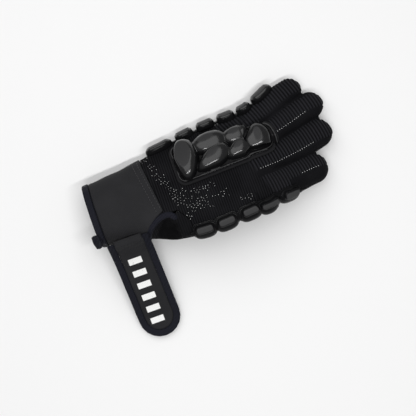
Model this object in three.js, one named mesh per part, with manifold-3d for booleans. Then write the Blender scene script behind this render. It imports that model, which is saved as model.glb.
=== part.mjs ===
// Field hockey glove, left hand, lying back up with its wrist strap open.
// Millimetres, +Z up. +X runs to the fingertips, +Y to the little finger side.
// The glove is a hollow shell of fabric and leather panels. It carries a padded
// knuckle guard and two edge guards, and rests on the flattened palm.

import * as THREE from 'three';
import { mergeVertices } from 'three/addons/utils/BufferGeometryUtils.js';
import Module from 'manifold-3d';

const wasm = await Module();
wasm.setup();

// Driving dimensions

const WALL = 2.0;            // thickness of the fabric and leather panels
const GAP = 0.3;             // clearance between neighbouring pieces
const BAND_PROUD = 1.0;      // how far the cuff band stands out over the hand panels
const BAND_WALL = 3.0;       // thickness of the cuff band
const BINDING_PROUD = 1.9;   // how far the wrist binding stands out
const BINDING_WIDTH = 6.2;   // width of the wrist binding along the wrist
const SQUARENESS = 2.5;      // exponent of the rounded cross sections
const HAND_START = 8;        // where the hand panels start under the cuff
const HAND_END = 159;        // web between the fingers
const PLACE_STEP = 16.0;     // distance between cross sections of the hand
const THUMB_STEPS = 7;       // cross sections along the thumb
const SLEEVE_STEPS = 3;      // cross sections along a finger
const HAND_SIDES = 20;       // facets round the hand
const HOLLOW_SIDES = 10;     // facets of the hollow inside a finger
const FINGER_SIDES = 12;     // facets round a finger
const TIP_RINGS = 3;         // rings that round off a fingertip
const SEAM_LEVEL = 0.34;     // height of the side seams as a share of the half height
const TIP_SEAM = 0.02;       // the same share at the fingertips
const SEAM_REACH = 10;       // half height that turns a gap into a share
const WRIST_X = -26.6;       // wrist edge
const REST_X = 76;           // the palm point that is the part's origin
const REST_Y = 22;

// Cross sections of the hand, from the wrist to the finger roots:
// place along the hand, plan edges on the little and index finger side,
// height of the middle, thickness, and roll of the back towards the little finger.
const HAND = [
  { x: -40, ulnar: 24.5, radial: -29, mid: 22.0, thick: 43, roll: 10 },
  { x: -27, ulnar: 25.6, radial: -31, mid: 22.0, thick: 43, roll: 11 },
  { x: 0, ulnar: 28.0, radial: -35, mid: 21.6, thick: 42, roll: 13 },
  { x: 21, ulnar: 31.0, radial: -41, mid: 21.4, thick: 40, roll: 15 },
  { x: 40, ulnar: 34.5, radial: -48.5, mid: 21.2, thick: 37, roll: 17 },
  { x: 60, ulnar: 37.5, radial: -52, mid: 21.6, thick: 34, roll: 18 },
  { x: 80, ulnar: 40.5, radial: -53, mid: 22.0, thick: 33, roll: 18 },
  { x: 101, ulnar: 42.5, radial: -52, mid: 22.0, thick: 32, roll: 18 },
  { x: 120, ulnar: 43.5, radial: -50.5, mid: 21.0, thick: 31, roll: 17 },
  { x: 136, ulnar: 44.0, radial: -48, mid: 19.0, thick: 29, roll: 15 },
  { x: 149, ulnar: 43.0, radial: -22, mid: 16.5, thick: 23, roll: 12 },
  { x: 159, ulnar: 36.0, radial: -4, mid: 14.5, thick: 12, roll: 9 },
];

// Finger sleeves: points on the middle line with width, height and roll, then the
// length of the rounded tip. The first row lies inside the hand.
const FINGERS = {
  little: {
    tip: 12,
    rows: [
      { x: 138, y: 32, z: 12.5, width: 22, height: 23, roll: 12 },
      { x: 156, y: 37.5, z: 12.0, width: 23, height: 23, roll: 11 },
      { x: 172, y: 44.0, z: 11.0, width: 25, height: 22.5, roll: 9 },
      { x: 187, y: 48.8, z: 10.2, width: 23, height: 21.5, roll: 8 },
    ],
  },
  ring: {
    tip: 14,
    rows: [
      { x: 134, y: 13.5, z: 19.0, width: 23, height: 26, roll: 14 },
      { x: 156, y: 15.8, z: 16.5, width: 23.5, height: 25.5, roll: 12 },
      { x: 178, y: 22.0, z: 13.0, width: 26, height: 24, roll: 9 },
      { x: 200, y: 28.5, z: 10.8, width: 26, height: 22.5, roll: 7 },
    ],
  },
  middle: {
    tip: 14,
    rows: [
      { x: 130, y: -9.0, z: 25.0, width: 24, height: 27, roll: 14 },
      { x: 152, y: -7.6, z: 20.5, width: 25, height: 26, roll: 12 },
      { x: 176, y: -3.6, z: 15.0, width: 27.5, height: 24.5, roll: 9 },
      { x: 199, y: 1.2, z: 11.2, width: 27, height: 23, roll: 7 },
    ],
  },
  index: {
    tip: 14,
    rows: [
      { x: 120, y: -34.5, z: 31.5, width: 27, height: 27, roll: 15 },
      { x: 140, y: -33.2, z: 26.0, width: 28.5, height: 26.5, roll: 13 },
      { x: 162, y: -31.0, z: 18.0, width: 29, height: 25, roll: 9 },
      { x: 184, y: -29.0, z: 11.8, width: 28, height: 23.5, roll: 6 },
    ],
  },
};

// Thumb sleeve, flattened between the palm and the surface.
const THUMB = {
  tip: 13,
  rows: [
    { x: 40, y: -29, z: 25, width: 25, height: 22, roll: 10 },
    { x: 50, y: -34.5, z: 15.5, width: 27, height: 19, roll: 8 },
    { x: 64, y: -37, z: 8.4, width: 27, height: 17.5, roll: 4 },
    { x: 82, y: -36, z: 7.2, width: 26, height: 16.5, roll: 0 },
    { x: 100, y: -33, z: 6.9, width: 24, height: 15.5, roll: 0 },
  ],
};
const THUMB_FREE_X = 60;     // from here to its tip the thumb lies clear of the palm
const THUMB_CLEAR = 0.8;     // air between the thumb and the palm above it

// Outlines seen from above, as x and y pairs.
const CUFF_FOOTPRINT = [
  [-21, 70], [29, 70], [31.5, 26], [37.5, -20], [29.5, -24.2], [14.8, -35.6],
  [19, -50], [19, -70], [-21, -70],
];
const HEEL_FOOTPRINT = [[10, -24.2], [50, -24.2], [58, -36], [60, -70], [10, -70]];
const SLIT = { fromX: 24, toX: 50, y: -24.2, width: 1.4 };

const SLIT_PATH = [
  [14.2, -36.4], [18, -33.2], [23.5, -28.6], [28, -25.4], [33, -24.9], [40, -24.9], [49, -24.9],
];
const BEAD_WIDTH = 4.2;
const BEAD_HEIGHT = 2.4;
const PULL_LOOP = { x: -29, y: -24.5, length: 8.6, width: 10, height: 5.4, bevel: 0.8 };

// Wrist strap: places along its length with height, then plan sizes.
const STRAP_PATH = [
  { y: -33.0, z: 43.2 }, { y: -38.5, z: 38.6 }, { y: -42.5, z: 32.5 }, { y: -49, z: 28 },
  { y: -60, z: 23.4 }, { y: -80, z: 16.2 }, { y: -100, z: 9.4 }, { y: -114, z: 4.8 },
  { y: -124, z: 3.3 }, { y: -132, z: 3.2 },
];
const STRAP_TIP_Y = -131;
const STRAP_HALF_WIDTH = 20;
const STRAP_ROOT_X = -2.2;   // middle of the strap at the cuff
const STRAP_TIP_X = -0.4;    // middle of the strap at its tip
const STRAP_THICK = 3.0;
const STRAP_PANEL_THICK = 2.2;
const STRAP_STEPS = 13;
const STRAP_ROUND_STEPS = 10;
const STRAP_BORDER = 6.6;    // width of the bound edge
const STRAP_PANEL_ROOT_Y = -37.5;
const PATCH_LENGTH = 34;
const PATCH_WIDTH = 24;
const PATCH_THICK = 1.4;

// Knuckle guard: plan of the flange, then each bump's plan box and height.
const PAD_THICK = 2.2;
const FLANGE_THICK = 2.4;
const KNUCKLE_FLANGE = { fromX: 64.5, toX: 159, near: -2, far: 32, nearEnd: 3.5, farEnd: 19.5, round: 8 };
const KNUCKLE_BUMPS = [
  { x: 74, y: 16.5, length: 19, width: 33, height: 12 },
  { x: 102, y: 23.0, length: 27, width: 11, height: 12 },
  { x: 101, y: 9.8, length: 27, width: 12.5, height: 12 },
  { x: 128, y: 22.0, length: 21, width: 9.5, height: 11 },
  { x: 127, y: 11.2, length: 21, width: 10, height: 11 },
  { x: 149, y: 15.2, length: 16, width: 14, height: 8 },
];

const PAD_MARGIN = 2.2;      // how far the pad shows round the flange
const SINK = 1.6;            // how deep a laid piece starts before it is cut to its seat

// Edge guards: ranges along the hand for each block, and how far they stand out.
const ULNAR_BLOCKS = [
  [40.7, 65.1], [71.6, 87.0], [93.4, 108.7], [114.4, 128.5], [134.7, 150.0], [154.8, 174.1],
];
const RADIAL_BLOCKS = [
  [59.6, 76.4], [80.7, 97.3], [104.1, 120.7], [122.5, 137.7], [141.2, 155.6],
];
const ULNAR_ARC = [0.6, -0.3];
const RADIAL_ARC = [0.34, -0.92];
const EDGE_STRIP_HEIGHT = 20;
const EDGE_BLEND_FROM = 126;
const EDGE_BLEND_TO = 146;
const EDGE_STEPS = 10;
const BLOCK_SIDES = 8;
const GUARD_BASE = 2.0;
const BLOCK_HEIGHT = 5.0;

// Colours, roughness and metalness of the finishes

const finish = (color, roughness, metalness = 0) =>
  new THREE.MeshStandardMaterial({ color, roughness, metalness });
const RIBBED = finish(0x1b1c1f, 0.9);
const KNIT = finish(0x26272b, 0.92);
const LEATHER = finish(0x2b2c30, 0.65);
const BINDING = finish(0x12141c, 0.8);
const MOULDING = finish(0x0b0b0d, 0.22);
const HOOK = finish(0x141414, 0.95);
const PADDING = finish(0x1d1e21, 0.85);

const HAND_PLACES = Array.from({ length: 13 }, (_, i) => HAND_END - PLACE_STEP * i).reverse();

const radians = THREE.MathUtils.degToRad;
const clampTo = THREE.MathUtils.clamp;

// Smooth interpolation in a table whose rows rise in the key column
function lookUp(rows, key, place, column) {
  const last = rows.length - 1;
  let i = 0;
  while (i < last - 1 && place > rows[i + 1][key]) i += 1;
  const before = rows[Math.max(i - 1, 0)];
  const from = rows[i];
  const to = rows[i + 1];
  const after = rows[Math.min(i + 2, last)];
  const span = to[key] - from[key];
  const t = clampTo((place - from[key]) / span, 0, 1);
  const slopeFrom = (to[column] - before[column]) / (to[key] - before[key]);
  const slopeTo = (after[column] - from[column]) / (after[key] - from[key]);
  const t2 = t * t;
  const t3 = t2 * t;
  return (2 * t3 - 3 * t2 + 1) * from[column] + (t3 - 2 * t2 + t) * span * slopeFrom
    + (3 * t2 - 2 * t3) * to[column] + (t3 - t2) * span * slopeTo;
}

const cornerPower = (value) => Math.sign(value) * Math.sqrt(Math.abs(value));
const roundPower = (value) => Math.sign(value) * Math.abs(value) ** (2 / SQUARENESS);

// One cross section: its middle, its side and up directions and its half sizes
function handStation(x) {
  const row = (column) => lookUp(HAND, 'x', x, column);
  const roll = radians(row('roll'));
  const halfHeight = row('thick') / 2;
  const halfPlan = (row('ulnar') - row('radial')) / 2;
  const lean = halfHeight * Math.sin(roll);
  return {
    centre: new THREE.Vector3(x, (row('ulnar') + row('radial')) / 2, row('mid')),
    side: new THREE.Vector3(0, Math.cos(roll), -Math.sin(roll)),
    up: new THREE.Vector3(0, Math.sin(roll), Math.cos(roll)),
    halfWidth: Math.sqrt(Math.max(halfPlan * halfPlan - lean * lean, 16)) / Math.cos(roll),
    halfHeight,
    scale: 1,
  };
}

function sleeveStations(sleeve, steps) {
  const rows = sleeve.rows;
  const first = rows[0].x;
  const last = rows[rows.length - 1].x;
  const middle = (x) => new THREE.Vector3(x, lookUp(rows, 'x', x, 'y'), lookUp(rows, 'x', x, 'z'));
  const stations = [];
  for (let i = 0; i <= steps; i += 1) {
    const x = first + (last - first) * i / steps;
    const ahead = middle(Math.min(x + 1, last));
    const behind = middle(Math.max(x - 1, first));
    const along = ahead.sub(behind).normalize();
    const flat = new THREE.Vector3(-along.y, along.x, 0).normalize();
    const rise = new THREE.Vector3().crossVectors(along, flat);
    const roll = radians(lookUp(rows, 'x', x, 'roll'));
    stations.push({
      centre: middle(x),
      along,
      side: flat.clone().multiplyScalar(Math.cos(roll)).addScaledVector(rise, -Math.sin(roll)),
      up: flat.clone().multiplyScalar(Math.sin(roll)).addScaledVector(rise, Math.cos(roll)),
      halfWidth: lookUp(rows, 'x', x, 'width') / 2,
      halfHeight: lookUp(rows, 'x', x, 'height') / 2,
      scale: 1,
    });
  }
  return stations;
}

// A point on a cross section, grown or shrunk, and never below the resting surface
function sectionPoint(station, angle, grow, floorAt, drop = grow) {
  const across = (station.halfWidth + grow) * station.scale * roundPower(Math.cos(angle));
  const height = (station.halfHeight + grow) * station.scale * roundPower(Math.sin(angle));
  const point = station.centre.clone();
  point.addScaledVector(station.side, across);
  point.addScaledVector(station.up, height);
  point.z = Math.max(point.z, floorAt(point) - drop);
  return point;
}

// A point raised from a cross section along its outward normal
function raisedPoint(station, angle, lift) {
  const across = Math.cos(angle);
  const height = Math.sin(angle);
  const power = 2 - 2 / SQUARENESS;
  const outward = new THREE.Vector3()
    .addScaledVector(station.side, Math.sign(across) * Math.abs(across) ** power
      / station.halfWidth)
    .addScaledVector(station.up, Math.sign(height) * Math.abs(height) ** power
      / station.halfHeight)
    .normalize();
  return sectionPoint(station, angle, 0, () => -100).addScaledVector(outward, lift);
}

const tableFloor = () => 0;

// Top of the thumb sleeve, which lifts the palm that lies on it
function palmFloor(point) {
  const end = THUMB.rows[THUMB.rows.length - 1].x;
  const near = THUMB_FREE_X - 2;
  if (point.x < near || point.x > end + THUMB.tip + 2) return 0;
  const x = Math.min(point.x, end);
  const halfWidth = lookUp(THUMB.rows, 'x', x, 'width') / 2 + 2;
  const halfHeight = lookUp(THUMB.rows, 'x', x, 'height') / 2;
  const across = (point.y - lookUp(THUMB.rows, 'x', x, 'y')) / halfWidth;
  const beyond = Math.max(point.x - end, 0) / (THUMB.tip + 2);
  const inside = 1 - Math.abs(across) ** SQUARENESS - beyond * beyond;
  if (inside <= 0) return 0;
  const crown = halfHeight * inside ** (1 / SQUARENESS);
  return lookUp(THUMB.rows, 'x', x, 'z') + crown + THUMB_CLEAR;
}

// Closed mesh through rings of points, with a fan at each end
function loftRings(rings, startPoint, endPoint) {
  const sides = rings[0].length;
  const positions = [];
  const indices = [];
  for (const ring of rings) {
    for (const point of ring) positions.push(point.x, point.y, point.z);
  }
  for (let r = 0; r < rings.length - 1; r += 1) {
    for (let s = 0; s < sides; s += 1) {
      const a = r * sides + s;
      const b = r * sides + (s + 1) % sides;
      const c = a + sides;
      const d = b + sides;
      indices.push(a, b, c, b, d, c);
    }
  }
  const middleOf = (ring) => ring
    .reduce((sum, point) => sum.add(point), new THREE.Vector3())
    .divideScalar(ring.length);
  const start = startPoint ?? middleOf(rings[0]);
  const end = endPoint ?? middleOf(rings[rings.length - 1]);
  positions.push(start.x, start.y, start.z, end.x, end.y, end.z);
  const startIndex = rings.length * sides;
  const lastRing = (rings.length - 1) * sides;
  for (let s = 0; s < sides; s += 1) {
    const next = (s + 1) % sides;
    indices.push(startIndex, next, s);
    indices.push(startIndex + 1, lastRing + s, lastRing + next);
  }
  const geometry = new THREE.BufferGeometry();
  geometry.setAttribute('position', new THREE.Float32BufferAttribute(positions, 3));
  geometry.setIndex(indices);
  return geometry;
}

// Closed mesh through rings that each hold an upper edge and its lower edge reversed
function loftStrips(rings) {
  const sides = rings[0].length;
  const half = sides / 2;
  const positions = rings.flat().flatMap((point) => [point.x, point.y, point.z]);
  const indices = [];
  for (let r = 0; r < rings.length - 1; r += 1) {
    for (let s = 0; s < sides; s += 1) {
      const a = r * sides + s;
      const b = r * sides + (s + 1) % sides;
      indices.push(a, b, a + sides, b, b + sides, a + sides);
    }
  }
  const lastRing = (rings.length - 1) * sides;
  for (let s = 0; s < half - 1; s += 1) {
    const opposite = sides - 1 - s;
    indices.push(s, opposite, s + 1, opposite, opposite - 1, s + 1);
    indices.push(lastRing + s, lastRing + s + 1, lastRing + opposite);
    indices.push(lastRing + opposite, lastRing + s + 1, lastRing + opposite - 1);
  }
  const geometry = new THREE.BufferGeometry();
  geometry.setAttribute('position', new THREE.Float32BufferAttribute(positions, 3));
  geometry.setIndex(indices);
  return geometry;
}

// Solid from a closed geometry, turned the right way out
function solid(geometry) {
  const plain = geometry.clone();
  for (const name of Object.keys(plain.attributes)) {
    if (name !== 'position') plain.deleteAttribute(name);
  }
  const merged = mergeVertices(plain, 1e-5);
  const vertices = Float32Array.from(merged.attributes.position.array);
  const corners = Uint32Array.from(merged.index.array);
  const place = (i) => new THREE.Vector3().fromArray(vertices, 3 * i);
  let volume = 0;
  for (let i = 0; i < corners.length; i += 3) {
    volume += place(corners[i]).dot(place(corners[i + 1]).cross(place(corners[i + 2])));
  }
  if (volume < 0) {
    for (let i = 0; i < corners.length; i += 3) {
      const second = corners[i + 1];
      corners[i + 1] = corners[i + 2];
      corners[i + 2] = second;
    }
  }
  return new wasm.Manifold(new wasm.Mesh({
    numProp: 3,
    vertProperties: vertices,
    triVerts: corners,
  }));
}

const joined = (solids) => solids.reduce((sum, next) => sum.add(next));

const middleY = (shape) => {
  const box = shape.boundingBox();
  return (box.min[1] + box.max[1]) / 2;
};

// The largest connected body, without crumbs left by a cut
function mainBody(shape) {
  return shape.decompose().reduce((best, next) => (next.volume() > best.volume() ? next : best));
}

// Upright prism over a plan outline
function prism(outline, low, high) {
  const shape = new THREE.Shape(outline.map(([x, y]) => new THREE.Vector2(x, y)));
  const geometry = new THREE.ExtrudeGeometry(shape, { depth: high - low, bevelEnabled: false });
  geometry.translate(0, 0, low);
  return solid(geometry);
}

const LOW = -20;
const HIGH = 90;

const fullTurn = (sides) => Array.from({ length: sides }, (_, i) => 2 * Math.PI * i / sides);

// Angles of the arc above or below a side seam
function seamArc(level, sides, upward) {
  const start = Math.sign(level) * Math.asin(Math.abs(level) ** (SQUARENESS / 2));
  const count = sides / 2;
  const sign = upward ? 1 : -1;
  return Array.from({ length: count + 1 }, (_, i) =>
    sign * (start + (Math.PI - 2 * start) * i / count));
}

// Tube through the hand's cross sections: the ends given, and the shared places between
function handTube(fromX, toX, grow, anglesAt, drop = grow) {
  const between = HAND_PLACES.filter((x) => x > fromX + 0.5 && x < toX - 0.5);
  const rings = [fromX, ...between, toX].map((x) => {
    const station = handStation(x);
    return anglesAt(HAND_SIDES, 1).map((t) => sectionPoint(station, t, grow, palmFloor, drop));
  });
  return solid(loftRings(rings));
}

function sleeveTube(sleeve, steps, grow, anglesAt, sides) {
  const stations = sleeveStations(sleeve, steps);
  const end = stations[stations.length - 1];
  const tipLength = sleeve.tip + grow;
  for (let i = 1; i <= TIP_RINGS; i += 1) {
    const angle = Math.PI / 2 * i / (TIP_RINGS + 0.6);
    const centre = end.centre.clone().addScaledVector(end.along, tipLength * Math.sin(angle));
    stations.push({ ...end, centre, scale: Math.cos(angle) });
  }
  const rings = stations.map((station) => anglesAt(sides, station.scale)
    .map((t) => sectionPoint(station, t, grow, tableFloor)));
  const pole = end.centre.clone().addScaledVector(end.along, tipLength);
  pole.z = Math.max(pole.z, -grow);
  return solid(loftRings(rings, undefined, pole));
}

const sleeveSides = (grow) => (grow < 0 ? HOLLOW_SIDES : FINGER_SIDES);

// The whole outer or inner form of the glove ahead of the wrist
function gloveForm(grow, fromX) {
  const parts = [
    handTube(fromX, HAND_END + grow, grow, fullTurn),
  ];
  for (const finger of Object.values(FINGERS)) {
    parts.push(sleeveTube(finger, SLEEVE_STEPS, grow, fullTurn, sleeveSides(grow)));
  }
  return joined(parts);
}

const thumbForm = (grow) => sleeveTube(THUMB, THUMB_STEPS, grow, fullTurn, sleeveSides(grow));

// The part of the glove above the upper seams or below the lower ones
function seamRegion(upward, grow) {
  const arc = (sides, scale) => {
    const level = Math.max(SEAM_LEVEL * clampTo((scale - 0.72) / 0.28, 0, 1), TIP_SEAM);
    return seamArc(level - grow / SEAM_REACH, sides, upward);
  };
  const outside = 1.5 + grow;
  const parts = [handTube(HAND_START - 4, HAND_END, outside, arc)];
  for (const finger of Object.values(FINGERS)) {
    parts.push(sleeveTube(finger, SLEEVE_STEPS, outside, arc, FINGER_SIDES));
  }
  return joined(parts);
}

const outer = gloveForm(0, HAND_START);
const inner = gloveForm(-WALL, HAND_START - 6);
const thumbOuter = thumbForm(0);
const thumbInner = thumbForm(-WALL);
const cuffCut = prism(CUFF_FOOTPRINT.map(([x, y]) => [x + (x > 0 ? GAP : 0), y]), LOW, HIGH);
const thicker = gloveForm(GAP, HAND_START - 8);
const thumbSleeve = mainBody(thumbOuter.subtract(thumbInner).subtract(inner).subtract(thicker));
const handShell = outer.subtract(inner).subtract(cuffCut).subtract(thumbForm(GAP));
const heel = prism(HEEL_FOOTPRINT, 24, HIGH);
const heelInset = prism(HEEL_FOOTPRINT.map(([x, y]) => [x, y + GAP]), 24, HIGH);
const slitCut = prism([
  [SLIT.fromX, SLIT.y - SLIT.width], [SLIT.toX, SLIT.y - SLIT.width],
  [SLIT.toX, SLIT.y], [SLIT.fromX, SLIT.y],
], 24, HIGH);
const back = mainBody(handShell.intersect(seamRegion(true, 0)).subtract(heelInset));
const palm = mainBody(handShell.intersect(seamRegion(false, 0)));
const between = handShell
  .subtract(seamRegion(true, GAP).subtract(heel))
  .subtract(seamRegion(false, GAP))
  .subtract(slitCut);
const tipCuts = Object.values(FINGERS).map((finger) => {
  const end = finger.rows[finger.rows.length - 1];
  const pole = end.x + finger.tip;
  const low = pole - finger.tip * 0.45;
  return prism([[low, end.y - 2], [pole + 3, end.y - 2], [pole + 3, end.y + 6], [low, end.y + 4]],
    LOW, HIGH);
});
const strips = between.subtract(joined(tipCuts)).decompose()
  .sort((one, two) => two.volume() - one.volume());

const mainStrips = strips.slice(0, 5).sort((one, two) => middleY(one) - middleY(two));

// Guards and trims that lie on the surface of the glove

// Point on the side of the glove: the hand, then the outer finger ahead of it
function edgeSurface(finger, turn) {
  const stations = sleeveStations(finger, 24);
  return (x, angle, lift) => {
    const onHand = raisedPoint(handStation(Math.min(x, HAND_END)), turn + angle, lift);
    const share = clampTo((x - EDGE_BLEND_FROM) / (EDGE_BLEND_TO - EDGE_BLEND_FROM), 0, 1);
    onHand.z = Math.max(onHand.z, GAP);
    if (share === 0) return onHand;
    const nearest = stations.reduce((best, next) =>
      (Math.abs(next.centre.x - x) < Math.abs(best.centre.x - x) ? next : best));
    const station = { ...nearest, centre: nearest.centre.clone() };
    station.centre.addScaledVector(nearest.along, (x - nearest.centre.x) / nearest.along.x);
    onHand.lerp(raisedPoint(station, turn + angle, lift), share);
    onHand.z = Math.max(onHand.z, GAP);
    return onHand;
  };
}

// Height of the highest finger sleeve over a plan place
function fingerTop(x, y) {
  let top = 0;
  for (const { rows } of Object.values(FINGERS)) {
    if (x < rows[0].x) continue;
    const across = (y - lookUp(rows, 'x', x, 'y')) / (lookUp(rows, 'x', x, 'width') / 2);
    if (Math.abs(across) >= 1) continue;
    const crown = (1 - Math.abs(across) ** SQUARENESS) ** (1 / SQUARENESS);
    const lean = (y - lookUp(rows, 'x', x, 'y')) * Math.tan(radians(lookUp(rows, 'x', x, 'roll')));
    top = Math.max(top, lookUp(rows, 'x', x, 'z') + lookUp(rows, 'x', x, 'height') / 2 * crown - lean);
  }
  return top;
}

// Point over the back of the hand at a plan place, raised along the normal
function dorsalSurface(x, y, lift) {
  const station = handStation(x);
  let low = 0.02;
  let high = Math.PI - 0.02;
  for (let i = 0; i < 24; i += 1) {
    const angle = (low + high) / 2;
    if (sectionPoint(station, angle, 0, tableFloor).y > y) low = angle;
    else high = angle;
  }
  const point = raisedPoint(station, low, lift);
  point.z += Math.max(fingerTop(x, y) - sectionPoint(station, low, 0, tableFloor).z, 0);
  return point;
}

// Slab laid on a surface: a grid of cells with an upper and a lower face
function laidSlab(surface, places, spanAt, cells, low, high) {
  const rings = places.map((x) => {
    const [from, to] = spanAt(x);
    const across = Array.from({ length: cells + 1 }, (_, i) => from + (to - from) * i / cells);
    const upper = across.map((v) => surface(x, v, high));
    const lower = across.map((v) => surface(x, v, low)).reverse();
    return upper.concat(lower);
  });
  return solid(loftStrips(rings));
}

// Raised block on a surface, with a bevel round its flat top
function laidBlock(surface, block, low, scaleAcross) {
  const levels = [
    { lift: low, inset: 0 },
    { lift: block.height * 0.72, inset: block.bevel * 0.3 },
    { lift: block.height, inset: block.bevel },
  ];
  const rings = levels.map((level) => {
    const halfLength = block.length / 2 - level.inset;
    const halfWidth = block.width / 2 - level.inset;
    return fullTurn(BLOCK_SIDES).map((t) => surface(
      block.x + halfLength * cornerPower(Math.cos(t)),
      block.y + halfWidth * cornerPower(Math.sin(t)) * scaleAcross,
      level.lift,
    ));
  });
  return solid(loftRings(rings));
}

const cuffOuter = handTube(-34, 42, BAND_PROUD, fullTurn, 0);
const cuffInner = handTube(-38, 46, BAND_PROUD - BAND_WALL, fullTurn, -BAND_WALL);
const cuffClear = handTube(-34, 42, BAND_PROUD + GAP, fullTurn, GAP);
const cuffBand = mainBody(cuffOuter.subtract(cuffInner)
  .intersect(prism(CUFF_FOOTPRINT, LOW, HIGH)));
const bindingFrom = WRIST_X - 1;
const bindingTo = bindingFrom + BINDING_WIDTH;
const cuffBinding = handTube(bindingFrom, bindingTo, BINDING_PROUD, fullTurn, 0)
  .subtract(handTube(bindingFrom - 3, bindingTo + 3, -BAND_WALL, fullTurn));
const bindingClear = handTube(bindingFrom - GAP, bindingTo + GAP, BINDING_PROUD + GAP,
  fullTurn, GAP);

// Strap ribbon of a given thickness, shifted along its own normal
function strapRibbon(thick, shift) {
  const rings = [];
  for (let i = 0; i <= STRAP_STEPS; i += 1) {
    const y = STRAP_PATH[0].y + (STRAP_TIP_Y - 1 - STRAP_PATH[0].y) * i / STRAP_STEPS;
    const rows = STRAP_PATH.map((row) => ({ ...row, along: -row.y }));
    const z = lookUp(rows, 'along', -y, 'z');
    const slope = (lookUp(rows, 'along', -y + 0.5, 'z') - lookUp(rows, 'along', -y - 0.5, 'z'));
    const normal = new THREE.Vector3(0, slope, 1).normalize();
    const ring = [[-1, -0.5], [1, -0.5], [1, 0.5], [-1, 0.5]].map(([side, level]) =>
      new THREE.Vector3(side * (STRAP_HALF_WIDTH + 8), y, z)
        .addScaledVector(normal, level * thick + shift));
    rings.push(ring);
  }
  return solid(loftRings(rings));
}

// Plan of the strap with a round end, inset by a margin
function strapOutline(inset, rootY) {
  const radius = STRAP_HALF_WIDTH - inset;
  const centreY = STRAP_TIP_Y + STRAP_HALF_WIDTH;
  const lean = (STRAP_ROOT_X - STRAP_TIP_X) / (STRAP_PANEL_ROOT_Y - centreY);
  const rootX = STRAP_TIP_X + lean * (rootY - centreY);
  const outline = [[rootX - radius, rootY]];
  for (let i = 0; i <= STRAP_ROUND_STEPS; i += 1) {
    const angle = Math.PI + Math.PI * i / STRAP_ROUND_STEPS;
    outline.push([
      STRAP_TIP_X + radius * Math.cos(angle),
      centreY + radius * Math.sin(angle),
    ]);
  }
  outline.push([rootX + radius, rootY]);
  return outline;
}

const strapRing = prism(strapOutline(0, STRAP_PANEL_ROOT_Y + 3.5), LOW, HIGH)
  .subtract(prism(strapOutline(STRAP_BORDER, 0), LOW, HIGH));
const strapBinding = mainBody(strapRibbon(STRAP_THICK, 0).intersect(strapRing)
  .subtract(cuffClear).subtract(thicker));
const strapPanel = mainBody(strapRibbon(STRAP_PANEL_THICK, 0)
  .intersect(prism(strapOutline(STRAP_BORDER + GAP, STRAP_PANEL_ROOT_Y), LOW, HIGH))
  .subtract(cuffClear).subtract(thicker));
const patchShift = -(STRAP_THICK + PATCH_THICK) / 2 - GAP;
const patchOutline = [-1, 1].map((side) => [STRAP_TIP_X + side * PATCH_WIDTH / 2, side]);
const patchFrom = STRAP_TIP_Y + 6;
const hookPatch = strapRibbon(PATCH_THICK, patchShift).intersect(prism([
  [patchOutline[0][0], patchFrom], [patchOutline[1][0], patchFrom],
  [patchOutline[1][0], patchFrom + PATCH_LENGTH], [patchOutline[0][0], patchFrom + PATCH_LENGTH],
], LOW, HIGH));

// Edge binding of the slit, a flat bead that follows the cut
const beadPath = new THREE.CatmullRomCurve3(SLIT_PATH.map(([x, y]) =>
  dorsalSurface(x, y, BAND_PROUD + BEAD_HEIGHT / 2 + GAP)));
const beadShape = new THREE.Shape(fullTurn(6).map((t) =>
  new THREE.Vector2(BEAD_HEIGHT / 2 * Math.cos(t), BEAD_WIDTH / 2 * Math.sin(t))));
const slitBinding = mainBody(solid(new THREE.ExtrudeGeometry(beadShape, {
  steps: 12, bevelEnabled: false, extrudePath: beadPath,
})).subtract(thicker).subtract(cuffClear)
  .subtract(prism(strapOutline(-GAP, STRAP_PANEL_ROOT_Y + 3.5 + GAP), LOW, HIGH)));

const pullLoop = laidBlock(dorsalSurface, PULL_LOOP, BINDING_PROUD, 1)
  .subtract(bindingClear).subtract(cuffClear);

// Knuckle guard on its pad
const flange = KNUCKLE_FLANGE;
function flangeSpan(grow, extraNear) {
  return (x) => {
    const share = clampTo((x - flange.fromX) / (flange.toX - flange.fromX), 0, 1);
    const near = flange.near + (flange.nearEnd - flange.near) * share - grow - extraNear;
    const far = flange.far + (flange.farEnd - flange.far) * share + grow;
    const toEnd = Math.min(x - flange.fromX, flange.toX - x) + grow;
    const left = clampTo(flange.round - toEnd, 0, flange.round);
    const inset = flange.round - Math.sqrt(flange.round ** 2 - left ** 2);
    return [far - inset, near + inset];
  };
}
function flangePlaces(grow) {
  const from = flange.fromX - grow;
  const to = flange.toX + grow;
  const ends = [0.1, 1.2, 3.6, 8];
  const middle = Array.from({ length: 8 }, (_, i) => from + 8 + (to - from - 16) * (i + 1) / 9);
  return [...ends.map((d) => from + d), ...middle, ...ends.map((d) => to - d).reverse()];
}
const padTop = PAD_THICK + GAP;
const guardPad = mainBody(laidSlab(dorsalSurface, flangePlaces(PAD_MARGIN),
  flangeSpan(PAD_MARGIN, PAD_MARGIN), 6, -SINK, padTop).subtract(thicker));
const padClear = laidSlab(dorsalSurface, flangePlaces(PAD_MARGIN),
  flangeSpan(PAD_MARGIN, PAD_MARGIN), 6, -SINK, padTop + GAP);
const flangeLow = padTop + GAP;
const bumps = KNUCKLE_BUMPS.map((bump) => laidBlock(dorsalSurface,
  { ...bump, height: bump.height + flangeLow, bevel: 3.2 }, 0, 1));
const knuckleGuard = mainBody(joined([
  laidSlab(dorsalSurface, flangePlaces(0), flangeSpan(0, 0), 6, 0, flangeLow + FLANGE_THICK),
  ...bumps,
]).subtract(padClear).subtract(thicker));

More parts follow.
